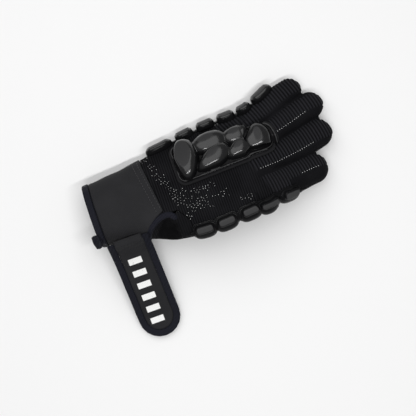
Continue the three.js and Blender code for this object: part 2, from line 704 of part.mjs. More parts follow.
// Edge guard: a moulded strip with a row of blocks
function edgeGuard(surface, blocks, arc, width) {
  const from = blocks[0][0] - 2.5;
  const to = blocks[blocks.length - 1][1] + 2.5;
  const places = Array.from({ length: EDGE_STEPS + 1 }, (_, i) => from + (to - from) * i / EDGE_STEPS);
  const strip = laidSlab(surface, places, () => arc, 4, -SINK, GUARD_BASE + GAP);
  const middle = (arc[0] + arc[1]) / 2;
  const raised = blocks.map(([start, end]) => laidBlock(surface, {
    x: (start + end) / 2, y: middle, length: end - start, width,
    height: GUARD_BASE + GAP + BLOCK_HEIGHT, bevel: 2.2,
  }, 1, Math.abs(arc[1] - arc[0]) / EDGE_STRIP_HEIGHT));
  return mainBody(joined([strip, ...raised]).subtract(thicker));
}
const ulnarGuard = edgeGuard(edgeSurface(FINGERS.little, 0), ULNAR_BLOCKS, ULNAR_ARC, 13);
const radialGuard = edgeGuard(edgeSurface(FINGERS.index, Math.PI), RADIAL_BLOCKS, RADIAL_ARC, 14);

const glove = new THREE.Group();
const placed = new THREE.Group();
placed.position.set(-REST_X, -REST_Y, 0);
glove.add(placed);

function addPiece(name, shape, material) {
  const mesh = shape.getMesh();
  const geometry = new THREE.BufferGeometry();
  geometry.setAttribute('position', new THREE.BufferAttribute(mesh.vertProperties, 3));
  geometry.setIndex(new THREE.BufferAttribute(mesh.triVerts, 1));
  geometry.computeVertexNormals();
  const piece = new THREE.Mesh(geometry, material);
  piece.name = name;
  placed.add(piece);
}

addPiece('back_panel', back, RIBBED);
addPiece('palm_panel', palm, LEATHER);
const STRIP_NAMES = ['side_panel_radial', 'fourchette_middle_index', 'fourchette_ring_middle',
  'fourchette_little_ring', 'side_panel_ulnar'];
STRIP_NAMES.forEach((name, i) => addPiece(name, mainStrips[i], KNIT));
addPiece('thumb_sleeve', thumbSleeve, LEATHER);
addPiece('cuff_band', cuffBand, KNIT);
addPiece('cuff_binding', cuffBinding, BINDING);
addPiece('slit_binding', slitBinding, BINDING);
addPiece('strap_panel', strapPanel, KNIT);
addPiece('strap_binding', strapBinding, BINDING);
addPiece('hook_patch', hookPatch, HOOK);
addPiece('pull_loop', pullLoop, BINDING);
addPiece('guard_pad', guardPad, PADDING);
addPiece('knuckle_guard', knuckleGuard, MOULDING);
addPiece('ulnar_guard', ulnarGuard, MOULDING);
addPiece('radial_guard', radialGuard, MOULDING);

export default glove;
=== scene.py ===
"""Field hockey glove, left hand, lying back up with its wrist strap open.

The glove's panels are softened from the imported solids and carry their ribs,
stitches and printed marks. The guards are modelled as smooth mouldings that
follow the back and the edges of the hand. Lengths in the tables are in
millimetres in the hand's own frame; REST_POINT is the part's origin in it.
"""

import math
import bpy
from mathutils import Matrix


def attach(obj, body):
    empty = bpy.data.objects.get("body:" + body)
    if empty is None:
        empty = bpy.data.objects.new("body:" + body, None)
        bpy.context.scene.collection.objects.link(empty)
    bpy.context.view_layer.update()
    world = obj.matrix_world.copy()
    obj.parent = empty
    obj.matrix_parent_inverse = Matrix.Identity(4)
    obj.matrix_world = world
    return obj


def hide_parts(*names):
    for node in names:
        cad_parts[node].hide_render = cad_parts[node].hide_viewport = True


bl_info = {
    "name": "Field Hockey Glove",
    "version": (1, 0, 0),
    "blender": (4, 5, 0),
    "location": "3D View > Sidebar > Glove",
    "description": "Builds the fabric, guards, strap and stage of a field hockey glove",
    "category": "Object",
}

import bmesh
import bpy
import numpy as np
from bpy.props import FloatProperty, FloatVectorProperty, IntProperty, PointerProperty
from mathutils import Matrix, Vector
from mathutils.bvhtree import BVHTree

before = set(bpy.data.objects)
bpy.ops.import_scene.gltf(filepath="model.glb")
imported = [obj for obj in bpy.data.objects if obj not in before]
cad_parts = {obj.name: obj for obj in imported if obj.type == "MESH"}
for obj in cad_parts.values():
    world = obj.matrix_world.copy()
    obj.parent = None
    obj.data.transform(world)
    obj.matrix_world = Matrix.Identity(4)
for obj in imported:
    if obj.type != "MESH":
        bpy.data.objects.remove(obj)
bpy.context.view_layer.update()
MM = 0.001
REST_POINT = np.array([76.0, 22.0, 0.0])
SQUARENESS = 2.5
HAND_END = 159.0

# Cross sections of the hand: place, little finger edge, index finger edge, middle
# height, thickness and roll in degrees.
HAND = np.array([
    (-40, 24.5, -29, 22.0, 43, 10),
    (-27, 25.6, -31, 22.0, 43, 11),
    (0, 28.0, -35, 21.6, 42, 13),
    (21, 31.0, -41, 21.4, 40, 15),
    (40, 34.5, -48.5, 21.2, 37, 17),
    (60, 37.5, -52, 21.6, 34, 18),
    (80, 40.5, -53, 22.0, 33, 18),
    (101, 42.5, -52, 22.0, 32, 18),
    (120, 43.5, -50.5, 21.0, 31, 17),
    (136, 44.0, -48, 19.0, 29, 15),
    (149, 43.0, -22, 16.5, 23, 12),
    (159, 36.0, -4, 14.5, 12, 9),
], dtype=float)

# Sleeves: rows of x, y, z, width, height and roll, then the rounded tip's length.
SLEEVES = {
    "little": (np.array([
        (138, 32, 12.5, 22, 23, 12),
        (156, 37.5, 12.0, 23, 23, 11),
        (172, 44.0, 11.0, 25, 22.5, 9),
        (187, 48.8, 10.2, 23, 21.5, 8),
    ], dtype=float), 12.0),
    "ring": (np.array([
        (134, 13.5, 19.0, 23, 26, 14),
        (156, 15.8, 16.5, 23.5, 25.5, 12),
        (178, 22.0, 13.0, 26, 24, 9),
        (200, 28.5, 10.8, 26, 22.5, 7),
    ], dtype=float), 14.0),
    "middle": (np.array([
        (130, -9.0, 25.0, 24, 27, 14),
        (152, -7.6, 20.5, 25, 26, 12),
        (176, -3.6, 15.0, 27.5, 24.5, 9),
        (199, 1.2, 11.2, 27, 23, 7),
    ], dtype=float), 14.0),
    "index": (np.array([
        (120, -34.5, 31.5, 27, 27, 15),
        (140, -33.2, 26.0, 28.5, 26.5, 13),
        (162, -31.0, 18.0, 29, 25, 9),
        (184, -29.0, 11.8, 28, 23.5, 6),
    ], dtype=float), 14.0),
}
THUMB = (np.array([
    (40, -29, 25, 25, 22, 10),
    (50, -34.5, 15.5, 27, 19, 8),
    (64, -37, 8.4, 27, 17.5, 4),
    (82, -36, 7.2, 26, 16.5, 0),
    (100, -33, 6.9, 24, 15.5, 0),
], dtype=float), 13.0)
THUMB_FREE_X = 60.0
THUMB_CLEAR = 0.8


# Form of the glove

def look_up(rows, place, column):
    """Smooth interpolation of one column at places in the first column."""
    keys = rows[:, 0]
    values = rows[:, column]
    last = len(keys) - 1
    i = np.clip(np.searchsorted(keys, place, side="left") - 1, 0, last - 1)
    before = np.maximum(i - 1, 0)
    after = np.minimum(i + 2, last)
    span = keys[i + 1] - keys[i]
    t = np.clip((place - keys[i]) / span, 0, 1)
    slope_from = (values[i + 1] - values[before]) / (keys[i + 1] - keys[before])
    slope_to = (values[after] - values[i]) / (keys[after] - keys[i])
    t2 = t * t
    t3 = t2 * t
    start = (2 * t3 - 3 * t2 + 1) * values[i] + (t3 - 2 * t2 + t) * span * slope_from
    return start + (3 * t2 - 2 * t3) * values[i + 1] + (t3 - t2) * span * slope_to


def hand_station(x):
    """Middle, axes and half sizes of the hand's cross sections at x."""
    roll = np.radians(look_up(HAND, x, 5))
    half_height = look_up(HAND, x, 4) / 2
    ulnar = look_up(HAND, x, 1)
    radial = look_up(HAND, x, 2)
    lean = half_height * np.sin(roll)
    half_plan = (ulnar - radial) / 2
    half_width = np.sqrt(np.maximum(half_plan ** 2 - lean ** 2, 16)) / np.cos(roll)
    zero = np.zeros_like(x)
    centre = np.stack([x, (ulnar + radial) / 2, look_up(HAND, x, 3)], -1)
    side = np.stack([zero, np.cos(roll), -np.sin(roll)], -1)
    up = np.stack([zero, np.sin(roll), np.cos(roll)], -1)
    along = np.stack([zero + 1, zero, zero], -1)
    return centre, along, side, up, half_width, half_height


def sleeve_station(rows, x):
    """The same for a finger or thumb sleeve."""
    def middle(at):
        return np.stack([at, look_up(rows, at, 1), look_up(rows, at, 2)], -1)
    first, last = rows[0, 0], rows[-1, 0]
    along = middle(np.minimum(x + 1, last)) - middle(np.maximum(x - 1, first))
    along /= np.linalg.norm(along, axis=-1, keepdims=True)
    flat = np.stack([-along[..., 1], along[..., 0], np.zeros_like(x)], -1)
    flat /= np.linalg.norm(flat, axis=-1, keepdims=True)
    rise = np.cross(along, flat)
    roll = np.radians(look_up(rows, x, 5))[..., None]
    side = flat * np.cos(roll) - rise * np.sin(roll)
    up = flat * np.sin(roll) + rise * np.cos(roll)
    return middle(x), along, side, up, look_up(rows, x, 3) / 2, look_up(rows, x, 4) / 2


def dot(a, b):
    return (a * b).sum(-1)


def tube_distance(points, station, over):
    """About the distance of points to a tube; over is how far past its end they lie."""
    centre, along, side, up, half_width, half_height = station
    offset = points - centre
    u = dot(offset, side)
    w = dot(offset, up)
    level = (np.abs(u / half_width) ** SQUARENESS + np.abs(w / half_height) ** SQUARENESS)
    level = np.sqrt(level ** (2 / SQUARENESS) + over ** 2)
    reach = np.sqrt(u * u + w * w + (over * half_height) ** 2)
    return reach * (level - 1) / np.maximum(level, 0.05) - (level < 0.05) * half_height


def hand_distance(points):
    x = np.clip(points[:, 0], HAND[0, 0], HAND_END)
    over = np.maximum(points[:, 0] - HAND_END, 0) / 4
    return tube_distance(points, hand_station(x), over)


def sleeve_distance(points, sleeve):
    rows, tip = sleeve
    first, last = rows[0, 0], rows[-1, 0]
    x = np.clip(points[:, 0], first, last)
    for _ in range(2):
        station = sleeve_station(rows, x)
        ahead = dot(points - station[0], station[1])
        x = np.clip(x + ahead * station[1][:, 0], first, last)
    station = sleeve_station(rows, x)
    ahead = dot(points - station[0], station[1])
    over = np.where(x >= last, np.maximum(ahead, 0) / tip, 0)
    over = over + np.where(x <= first, np.maximum(-ahead, 0) / 6, 0)
    return tube_distance(points, station, over)


def soft_min(a, b, size):
    share = np.clip(0.5 + 0.5 * (b - a) / size, 0, 1)
    return b * (1 - share) + a * share - size * share * (1 - share)


def soft_max(a, b, size):
    return -soft_min(-a, -b, size)


def glove_distance(points):
    """The glove without its thumb, flattened on the surface and over the thumb."""
    distance = hand_distance(points)
    fingers = np.flatnonzero(points[:, 0] > 110)
    for sleeve in SLEEVES.values():
        reach = sleeve_distance(points[fingers], sleeve)
        distance[fingers] = soft_min(distance[fingers], reach, 3.0)
    over_thumb = np.flatnonzero((points[:, 0] > 40) & (points[:, 0] < 120))
    near = points[over_thumb]
    under = -(sleeve_distance(near, THUMB) - THUMB_CLEAR)
    under = under - np.maximum(THUMB_FREE_X - near[:, 0], 0) * 2
    distance[over_thumb] = soft_max(distance[over_thumb], under, 1.5)
    return soft_max(distance, -points[:, 2], 1.0)


def thumb_distance(points):
    return soft_max(sleeve_distance(points, THUMB), -points[:, 2], 1.0)


def cuff_distance(points):
    x = np.clip(points[:, 0], HAND[0, 0], HAND_END)
    return soft_max(tube_distance(points, hand_station(x), 0 * x), -points[:, 2], 1.0)


def gradient(field, points, here):
    steps = []
    for axis in range(3):
        moved = points.copy()
        moved[:, axis] += 0.05
        steps.append((field(moved) - here) / 0.05)
    slope = np.stack(steps, -1)
    size = np.linalg.norm(slope, axis=1, keepdims=True)
    return slope / np.maximum(size, 1e-6), np.maximum(size[:, 0], 0.2)


def settle(field, points, rounds=3):
    """Moves points onto a field's surface and gives the outward directions there."""
    points = points.copy()
    for _ in range(rounds):
        here = field(points)
        outward, size = gradient(field, points, here)
        points -= outward * np.clip(here / size, -3, 3)[:, None]
    outward, _ = gradient(field, points, field(points))
    return points, outward


def ring_points(station, angle):
    """Points on cross sections at an angle from the little finger side."""
    centre, _, side, up, half_width, half_height = station
    def rounded(value):
        return np.sign(value) * np.abs(value) ** (2 / SQUARENESS)
    across = (half_width * rounded(np.cos(angle)))[..., None]
    height = (half_height * rounded(np.sin(angle)))[..., None]
    return centre + side * across + up * height


def over_back(x, y, lift):
    """Points over the back of the hand at plan places, raised along the normal."""
    x = np.asarray(x, float)
    y = np.asarray(y, float)
    station = hand_station(x)
    low = np.full(x.shape, 0.02)
    high = np.full(x.shape, math.pi - 0.02)
    for _ in range(24):
        angle = (low + high) / 2
        beyond = ring_points(station, angle)[..., 1] > y
        low = np.where(beyond, angle, low)
        high = np.where(beyond, high, angle)
    points, outward = settle(glove_distance, ring_points(station, low), 4)
    return points + outward * np.asarray(lift, float)[..., None]


# Where an edge line passes from the hand's side to the outer finger's.
BLEND_FROM = 126.0
BLEND_TO = 146.0


def along_edge(sleeve, turn):
    """A function for points along one edge of the hand and its outer finger."""
    rows = SLEEVES[sleeve][0]
    def place(x, angle, lift):
        x = np.asarray(x, float)
        angle = np.asarray(angle, float)
        on_hand = ring_points(hand_station(np.minimum(x, HAND_END)), turn + angle)
        inside = np.clip(x, rows[0, 0], rows[-1, 0])
        on_sleeve = ring_points(sleeve_station(rows, inside), turn + angle)
        share = np.clip((x - BLEND_FROM) / (BLEND_TO - BLEND_FROM), 0, 1)[..., None]
        points, outward = settle(glove_distance, on_hand * (1 - share) + on_sleeve * share, 3)
        points = points + outward * np.asarray(lift, float)[..., None]
        points[..., 2] = np.maximum(points[..., 2], 0.3)
        return points
    return place


def to_scene(points):
    return (points - REST_POINT) * MM


def from_scene(points):
    return points / MM + REST_POINT


# Settings that a user may change

class GloveFabric(bpy.types.PropertyGroup):
    panel_voxel: FloatProperty(
        name="Panel Detail", description="Size of the mesh cells on the ribbed back",
        default=0.00064, min=0.0004, subtype="DISTANCE", unit="LENGTH")
    plain_voxel: FloatProperty(
        name="Plain Detail", description="Size of the mesh cells on the plain panels",
        default=0.0009, min=0.0005, subtype="DISTANCE", unit="LENGTH")
    wall: FloatProperty(
        name="Panel Thickness", description="Thickness of fabric and leather",
        default=0.002, subtype="DISTANCE", unit="LENGTH")
    rib_pitch: FloatProperty(
        name="Rib Pitch", description="Distance between ribs on the fingers",
        default=0.00305, subtype="DISTANCE", unit="LENGTH")
    rib_depth: FloatProperty(
        name="Rib Depth", description="Height of the ribs on the fingers",
        default=0.00055, subtype="DISTANCE", unit="LENGTH")
    back_pitch: FloatProperty(
        name="Back Rib Pitch", description="Distance between the fine ribs on the hand",
        default=0.0022, subtype="DISTANCE", unit="LENGTH")
    ribbed: FloatVectorProperty(
        name="Ribbed Fabric", description="Colour of the ribbed back",
        default=(0.0062, 0.0062, 0.0074), subtype="COLOR", size=3)
    plain: FloatVectorProperty(
        name="Plain Fabric", description="Colour of the wrist band, strap and side panels",
        default=(0.0108, 0.0108, 0.0122), subtype="COLOR", size=3)
    leather: FloatVectorProperty(
        name="Palm Leather", description="Colour of the palm",
        default=(0.022, 0.022, 0.024), subtype="COLOR", size=3)
    binding: FloatVectorProperty(
        name="Binding Tape", description="Colour of the bound edges",
        default=(0.0075, 0.008, 0.0135), subtype="COLOR", size=3)
    thread: FloatVectorProperty(
        name="Thread", description="Colour of the stitches",
        default=(0.012, 0.012, 0.014), subtype="COLOR", size=3)
    marks: FloatVectorProperty(
        name="Printed Marks", description="Colour of the white marks and dots",
        default=(0.82, 0.82, 0.81), subtype="COLOR", size=3)


class GloveGuards(bpy.types.PropertyGroup):
    detail: FloatProperty(
        name="Moulding Detail", description="Size of the mesh cells on the guards",
        default=0.0004, min=0.00025, subtype="DISTANCE", unit="LENGTH")
    colour: FloatVectorProperty(
        name="Moulding", description="Colour of the glossy guards",
        default=(0.005, 0.005, 0.0055), subtype="COLOR", size=3)
    # painted reflection: the paler grey painted on the flat tops of the blocks and on the flange's
    # rim; the guards' dust is tinted from it too
    faces: FloatVectorProperty(
        name="Block Faces", description="Colour of the flat tops of the guard blocks",
        default=(0.045, 0.045, 0.046), subtype="COLOR", size=3)
    flange: FloatProperty(
        name="Flange Thickness", description="Thickness of the knuckle guard's flange",
        default=0.0024, subtype="DISTANCE", unit="LENGTH")
    rim: FloatProperty(
        name="Rim Width", description="Width of the raised rim round the flange",
        default=0.0013, subtype="DISTANCE", unit="LENGTH")
    pad: FloatProperty(
        name="Pad Thickness", description="Thickness of the pad under the knuckle guard",
        default=0.0022, subtype="DISTANCE", unit="LENGTH")
    block_height: FloatProperty(
        name="Edge Block Height", description="How far the edge blocks stand out",
        default=0.005, subtype="DISTANCE", unit="LENGTH")


class GloveStrap(bpy.types.PropertyGroup):
    mark_count: IntProperty(
        name="Fit Marks", description="Number of plain fit marks across the strap",
        default=6, min=0, max=12)
    mark_pitch: FloatProperty(
        name="Mark Pitch", description="Distance between fit marks",
        default=0.0118, subtype="DISTANCE", unit="LENGTH")
    mark_length: FloatProperty(
        name="Mark Length", description="Length of a fit mark across the strap",
        default=0.0128, subtype="DISTANCE", unit="LENGTH")
    mark_width: FloatProperty(
        name="Mark Width", description="Width of a fit mark along the strap",
        default=0.0056, subtype="DISTANCE", unit="LENGTH")


class GloveStage(bpy.types.PropertyGroup):
    lens: FloatProperty(
        name="Lens", description="Focal length of the camera in millimetres",
        default=85.0, unit="CAMERA")
    view_width: FloatProperty(
        name="View Width", description="Width that the picture covers at the glove",
        default=0.3895, subtype="DISTANCE", unit="LENGTH")
    turn: FloatProperty(
        name="Turn", description="Turn of the hand in the picture",
        default=math.radians(19.6), subtype="ANGLE", unit="ROTATION")
    elevation: FloatProperty(
        name="Elevation", description="Angle of the camera over the surface",
        default=math.radians(88), subtype="ANGLE", unit="ROTATION")
    floor: FloatVectorProperty(
        name="Surface", description="Colour of the surface under the glove",
        default=(0.795, 0.795, 0.795), subtype="COLOR", size=3)


def settings():
    return bpy.context.scene.glove_fabric


# Modelling helpers

def clear_selection():
    if bpy.context.mode != "OBJECT":
        bpy.ops.object.mode_set(mode="OBJECT")
    bpy.ops.object.select_all(action="DESELECT")


def choose(piece):
    clear_selection()
    piece.select_set(True)
    bpy.context.view_layer.objects.active = piece


def vertex_values(piece, name):
    values = np.empty(len(piece.data.vertices) * 3, dtype=np.float32)
    piece.data.vertices.foreach_get(name, values)
    return values.reshape(-1, 3).astype(float)


def coordinates(piece):
    return vertex_values(piece, "co")


def directions(piece):
    return vertex_values(piece, "normal")


def move_points(piece, points):
    piece.data.vertices.foreach_set("co", np.ascontiguousarray(points, float).ravel())
    piece.data.update()


def apply_modifier(piece, kind, **values):
    choose(piece)
    modifier = piece.modifiers.new(kind.title(), kind)
    for key, value in values.items():
        setattr(modifier, key, value)
    bpy.ops.object.modifier_apply(modifier=modifier.name)


def remesh(piece, voxel, smooth=0):
    apply_modifier(piece, "REMESH", mode="VOXEL", voxel_size=voxel, use_smooth_shade=True)
    if smooth:
        apply_modifier(piece, "SMOOTH", factor=0.5, iterations=smooth)


def copy_of(node, name):
    """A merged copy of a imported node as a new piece."""
    piece = bpy.data.objects.new(name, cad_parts[node].data.copy())
    bpy.context.scene.collection.objects.link(piece)
    piece.data.materials.clear()
    mesh = bmesh.new()
    mesh.from_mesh(piece.data)
    bmesh.ops.remove_doubles(mesh, verts=mesh.verts, dist=1e-6)
    mesh.to_mesh(piece.data)
    mesh.free()
    return piece


def softened(node, name, voxel, rounds, slot):
    """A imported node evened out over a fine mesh, as a finished piece."""
    piece = copy_of(node, name)
    remesh(piece, voxel, rounds)
    return finish_piece(piece, slot, node)


def merge(pieces, name):
    clear_selection()
    for piece in pieces:
        piece.select_set(True)
    bpy.context.view_layer.objects.active = pieces[0]
    if len(pieces) > 1:
        bpy.ops.object.join()
    joined = bpy.context.view_layer.objects.active
    joined.name = name
    joined.data.name = name
    return joined


def finish_piece(piece, slot, *nodes, look=None, smooth_angle=None):
    choose(piece)
    piece.data.materials.clear()
    piece.data.materials.append(material_for(look or slot))
    if smooth_angle is None:
        bpy.ops.object.shade_smooth()
    else:
        bpy.ops.object.shade_smooth_by_angle(angle=math.radians(smooth_angle))
    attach(piece, "root")
    if nodes:
        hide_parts(*nodes)
    clear_selection()
    return piece


def add_attribute(piece, name, values):
    layer = piece.data.attributes.new(name, "FLOAT", "POINT")
    layer.data.foreach_set("value", np.asarray(values, np.float32))


def sprinkle(name, pattern, places, axes):
    """Copies of one small form joined in one mesh, each with its own place and axes."""
    base = np.array([vertex.co for vertex in pattern.data.vertices])
    loops = [list(face.vertices) for face in pattern.data.polygons]
    bpy.data.objects.remove(pattern)
    points = [base @ np.array(axis) + place for place, axis in zip(places, axes)]
    faces = [[start * len(base) + i for i in loop]
             for start in range(len(points)) for loop in loops]
    mesh = bpy.data.meshes.new(name)
    mesh.from_pydata([tuple(point) for point in np.concatenate(points)], [], faces)
    piece = bpy.data.objects.new(name, mesh)
    bpy.context.scene.collection.objects.link(piece)
    return piece


def small_form(size):
    """A small rounded form for stitches and dots, with half sizes along x, y and z."""
    clear_selection()
    bpy.ops.mesh.primitive_uv_sphere_add(segments=6, ring_count=4, radius=1)
    form = bpy.context.object
    choose(form)
    bpy.ops.object.mode_set(mode="EDIT")
    bpy.ops.mesh.select_all(action="SELECT")
    bpy.ops.transform.resize(value=size, center_override=(0, 0, 0))
    bpy.ops.object.mode_set(mode="OBJECT")
    return form


def unit(vectors):
    return vectors / np.maximum(np.linalg.norm(vectors, axis=-1, keepdims=True), 1e-9)


def run_length(points):
    """Length along a line of points, from its start to each of them."""
    return np.concatenate([[0], np.cumsum(np.linalg.norm(np.diff(points, axis=0), axis=1))])


def values_at(at, run, values):
    """Each column of values, interpolated at lengths along a line."""
    return np.stack([np.interp(at, run, column) for column in values.T], -1)


def even_out(values, rounds):
    """Smooths values along a line, in place, and leaves its ends."""
    for _ in range(rounds):
        values[1:-1] = (values[:-2] + values[1:-1] * 2 + values[2:]) / 4


def line_axes(line):
    """Directions along and to the left of a plan line at each of its points."""
    ahead = unit(np.gradient(line, axis=0))
    return ahead, np.stack([-ahead[:, 1], ahead[:, 0]], -1)


def stitch_places(points, outward, pitch):
    """Even places along a line on the surface, with along, across and outward axes."""
    run = run_length(points)
    at = np.arange(pitch / 2, run[-1], pitch)
    step = pitch * 0.3
    along = unit(values_at(at + step, run, points) - values_at(at - step, run, points))
    across = unit(np.cross(unit(values_at(at, run, outward)), along))
    up = unit(np.cross(along, across))
    return values_at(at, run, points), np.stack([along, across, up], 1)


def waves(points, seed, length):
    """Smooth seeded unevenness between about -1 and 1."""
    draw = np.random.default_rng(seed)
    total = np.zeros(len(points))
    for _ in range(7):
        direction = unit(draw.normal(size=3))
        step = length * draw.uniform(0.7, 1.6)
        total += np.sin(points @ direction * (2 * math.pi / step) + draw.uniform(0, 6.28))
    return total / 3.2


# Materials

def new_group(name, inputs, outputs):
    group = bpy.data.node_groups.new(name, "ShaderNodeTree")
    for label, kind, value in inputs:
        socket = group.interface.new_socket(name=label, in_out="INPUT", socket_type=kind)
        socket.default_value = value
    for label, kind in outputs:
        group.interface.new_socket(name=label, in_out="OUTPUT", socket_type=kind)
    start = group.nodes.new("NodeGroupInput")
    end = group.nodes.new("NodeGroupOutput")
    return group, start, end


class Wiring:
    """Short calls for placing and joining shader nodes in one tree."""

    def __init__(self, tree):
        self.tree = tree

    def node(self, kind, **values):
        node = self.tree.nodes.new(kind)
        for key, value in values.items():
            setattr(node, key, value)
        return node

    def join(self, source, target):
        self.tree.links.new(source, target)

    def feed(self, target, source):
        if isinstance(source, bpy.types.NodeSocket):
            self.join(source, target)
        else:
            target.default_value = source

    def math(self, operation, a, b=0.0):
        node = self.node("ShaderNodeMath", operation=operation)
        self.feed(node.inputs[0], a)
        self.feed(node.inputs[1], b)
        return node.outputs[0]

    def mix(self, share, a, b):
        node = self.node("ShaderNodeMix", data_type="RGBA", clamp_factor=True)
        self.feed(node.inputs["Factor"], share)
        self.feed(node.inputs[6], a)
        self.feed(node.inputs[7], b)
        return node.outputs[2]

    def noise(self, place, scale, detail):
        node = self.node("ShaderNodeTexNoise")
        self.join(place, node.inputs["Vector"])
        node.inputs["Scale"].default_value = scale
        node.inputs["Detail"].default_value = detail
        node.inputs["Roughness"].default_value = 0.55
        return node.outputs["Fac"]

    def place(self):
        return self.node("ShaderNodeTexCoord").outputs["Object"]

    def value(self, name):
        return self.node("ShaderNodeAttribute", attribute_name=name).outputs["Fac"]

    def spread(self, source, low, high):
        """The source from low to high as 0 to 1, clamped."""
        node = self.node("ShaderNodeMapRange", clamp=True)
        self.join(source, node.inputs["Value"])
        node.inputs["From Min"].default_value = low
        node.inputs["From Max"].default_value = high
        return node.outputs["Result"]


def knit_group():
    """Fine crossed threads: a height and a mask of the gaps between them."""
    group, start, end = new_group(
        "Knitted Threads",
        [("Vector", "NodeSocketVector", (0, 0, 0)), ("Pitch", "NodeSocketFloat", 0.0007)],
        [("Height", "NodeSocketFloat"), ("Gaps", "NodeSocketFloat")])
    w = Wiring(group)
    split = w.node("ShaderNodeSeparateXYZ")
    w.join(start.outputs["Vector"], split.inputs[0])
    turns = w.math("DIVIDE", 2 * math.pi, start.outputs["Pitch"])
    rough = w.noise(start.outputs["Vector"], 900.0, 2.0)
    waves_across = []
    for first, second, third in ((0, 1, 2), (1, 2, 0)):
        total = w.math("ADD", split.outputs[first], w.math("MULTIPLY", split.outputs[second], 0.6))
        total = w.math("ADD", total, w.math("MULTIPLY", split.outputs[third], 0.8))
        phase = w.math("ADD", w.math("MULTIPLY", total, turns), rough)
        waves_across.append(w.math("SINE", phase))
    weave = w.math("MULTIPLY", waves_across[0], waves_across[1])
    height = w.math("ADD", w.math("MULTIPLY", weave, 0.5), 0.5)
    w.join(w.math("ADD", height, w.math("MULTIPLY", rough, 0.3)), end.inputs["Height"])
    w.join(w.spread(height, 0.35, 0.05), end.inputs["Gaps"])
    return group


def grain_group():
    """Creased leather grain: a height and a mask of its fine creases."""
    group, start, end = new_group(
        "Leather Grain",
        [("Vector", "NodeSocketVector", (0, 0, 0)), ("Scale", "NodeSocketFloat", 700.0)],
        [("Height", "NodeSocketFloat"), ("Creases", "NodeSocketFloat")])
    w = Wiring(group)
    cells = w.node("ShaderNodeTexVoronoi", feature="DISTANCE_TO_EDGE")
    w.join(start.outputs["Vector"], cells.inputs["Vector"])
    w.join(start.outputs["Scale"], cells.inputs["Scale"])
    edge = w.spread(cells.outputs["Distance"], 0.0, 0.25)
    fine = w.noise(start.outputs["Vector"], 2200.0, 3.0)
    w.join(w.math("ADD", edge, w.math("MULTIPLY", fine, 0.4)), end.inputs["Height"])
    w.join(w.math("SUBTRACT", 1.0, edge), end.inputs["Creases"])
    return group


def wear_group():
    """Uneven dusting and rubbing: a large soft patchiness and fine specks."""
    group, start, end = new_group(
        "Dust and Rubbing",
        [("Vector", "NodeSocketVector", (0, 0, 0)), ("Amount", "NodeSocketFloat", 0.5)],
        [("Patches", "NodeSocketFloat"), ("Specks", "NodeSocketFloat")])
    w = Wiring(group)
    large = w.spread(w.noise(start.outputs["Vector"], 38.0, 4.0), 0.42, 0.68)
    small = w.spread(w.noise(start.outputs["Vector"], 1500.0, 2.0), 0.66, 0.78)
    w.join(w.math("MULTIPLY", large, start.outputs["Amount"]), end.inputs["Patches"])
    w.join(w.math("MULTIPLY", small, start.outputs["Amount"]), end.inputs["Specks"])
    return group


def shared_group(name, build):
    return bpy.data.node_groups.get(name) or build()


def start_material(name):
    material = bpy.data.materials.new(name)
    material.use_nodes = True
    w = Wiring(material.node_tree)
    shader = material.node_tree.nodes["Principled BSDF"]
    return material, w, shader


def use_group(w, name, build, **values):
    node = w.node("ShaderNodeGroup", node_tree=shared_group(name, build))
    w.join(w.place(), node.inputs["Vector"])
    for key, value in values.items():
        node.inputs[key.title()].default_value = value
    return node.outputs


def bump(w, shader, height, strength, distance):
    node = w.node("ShaderNodeBump")
    node.inputs["Strength"].default_value = strength
    node.inputs["Distance"].default_value = distance
    w.feed(node.inputs["Height"], height)
    w.join(node.outputs["Normal"], shader.inputs["Normal"])


def shade(colour, factor, lift=0.0):
    return tuple(c * factor + lift for c in colour) + (1.0,)


def cloth_sheen(shader, weight, roughness):
    shader.inputs["Sheen Weight"].default_value = weight
    shader.inputs["Sheen Roughness"].default_value = roughness


def ribbed_material():
    """Ribbed stretch fabric: painted shade in the grooves and painted light on the crests of the
    ribs that the mesh carries.
    """
    colour = settings().ribbed
    material, w, shader = start_material("ribbed_fabric")
    knit = use_group(w, "Knitted Threads", knit_group, pitch=0.00075)
    wear = use_group(w, "Dust and Rubbing", wear_group, amount=0.5)
    crest = w.value("rib_painted_shade")
    strip = w.value("strip")
    # painted shade and light: the ribs' grooves go darker and their crests lighter
    base = w.mix(crest, shade(colour, 0.15), shade(colour, 2.6, 0.002))
    base = w.mix(strip, base, shade(colour, 0.75))
    # painted shade in the gaps between threads
    base = w.mix(w.math("MULTIPLY", knit["Gaps"], 0.45), base, shade(colour, 0.3))
    base = w.mix(w.math("MULTIPLY", wear["Patches"], 0.35), base, shade(colour, 1.9, 0.006))
    base = w.mix(w.math("MULTIPLY", wear["Specks"], 0.5), base, shade(colour, 2.5, 0.03))
    w.join(base, shader.inputs["Base Color"])
    rough = w.math("ADD", w.math("MULTIPLY", crest, -0.10), 0.82)
    w.join(rough, shader.inputs["Roughness"])
    bump(w, shader, knit["Height"], 0.55, 0.00022)
    shader.inputs["Specular IOR Level"].default_value = 0.05
    cloth_sheen(shader, 0.01, 0.45)
    return material


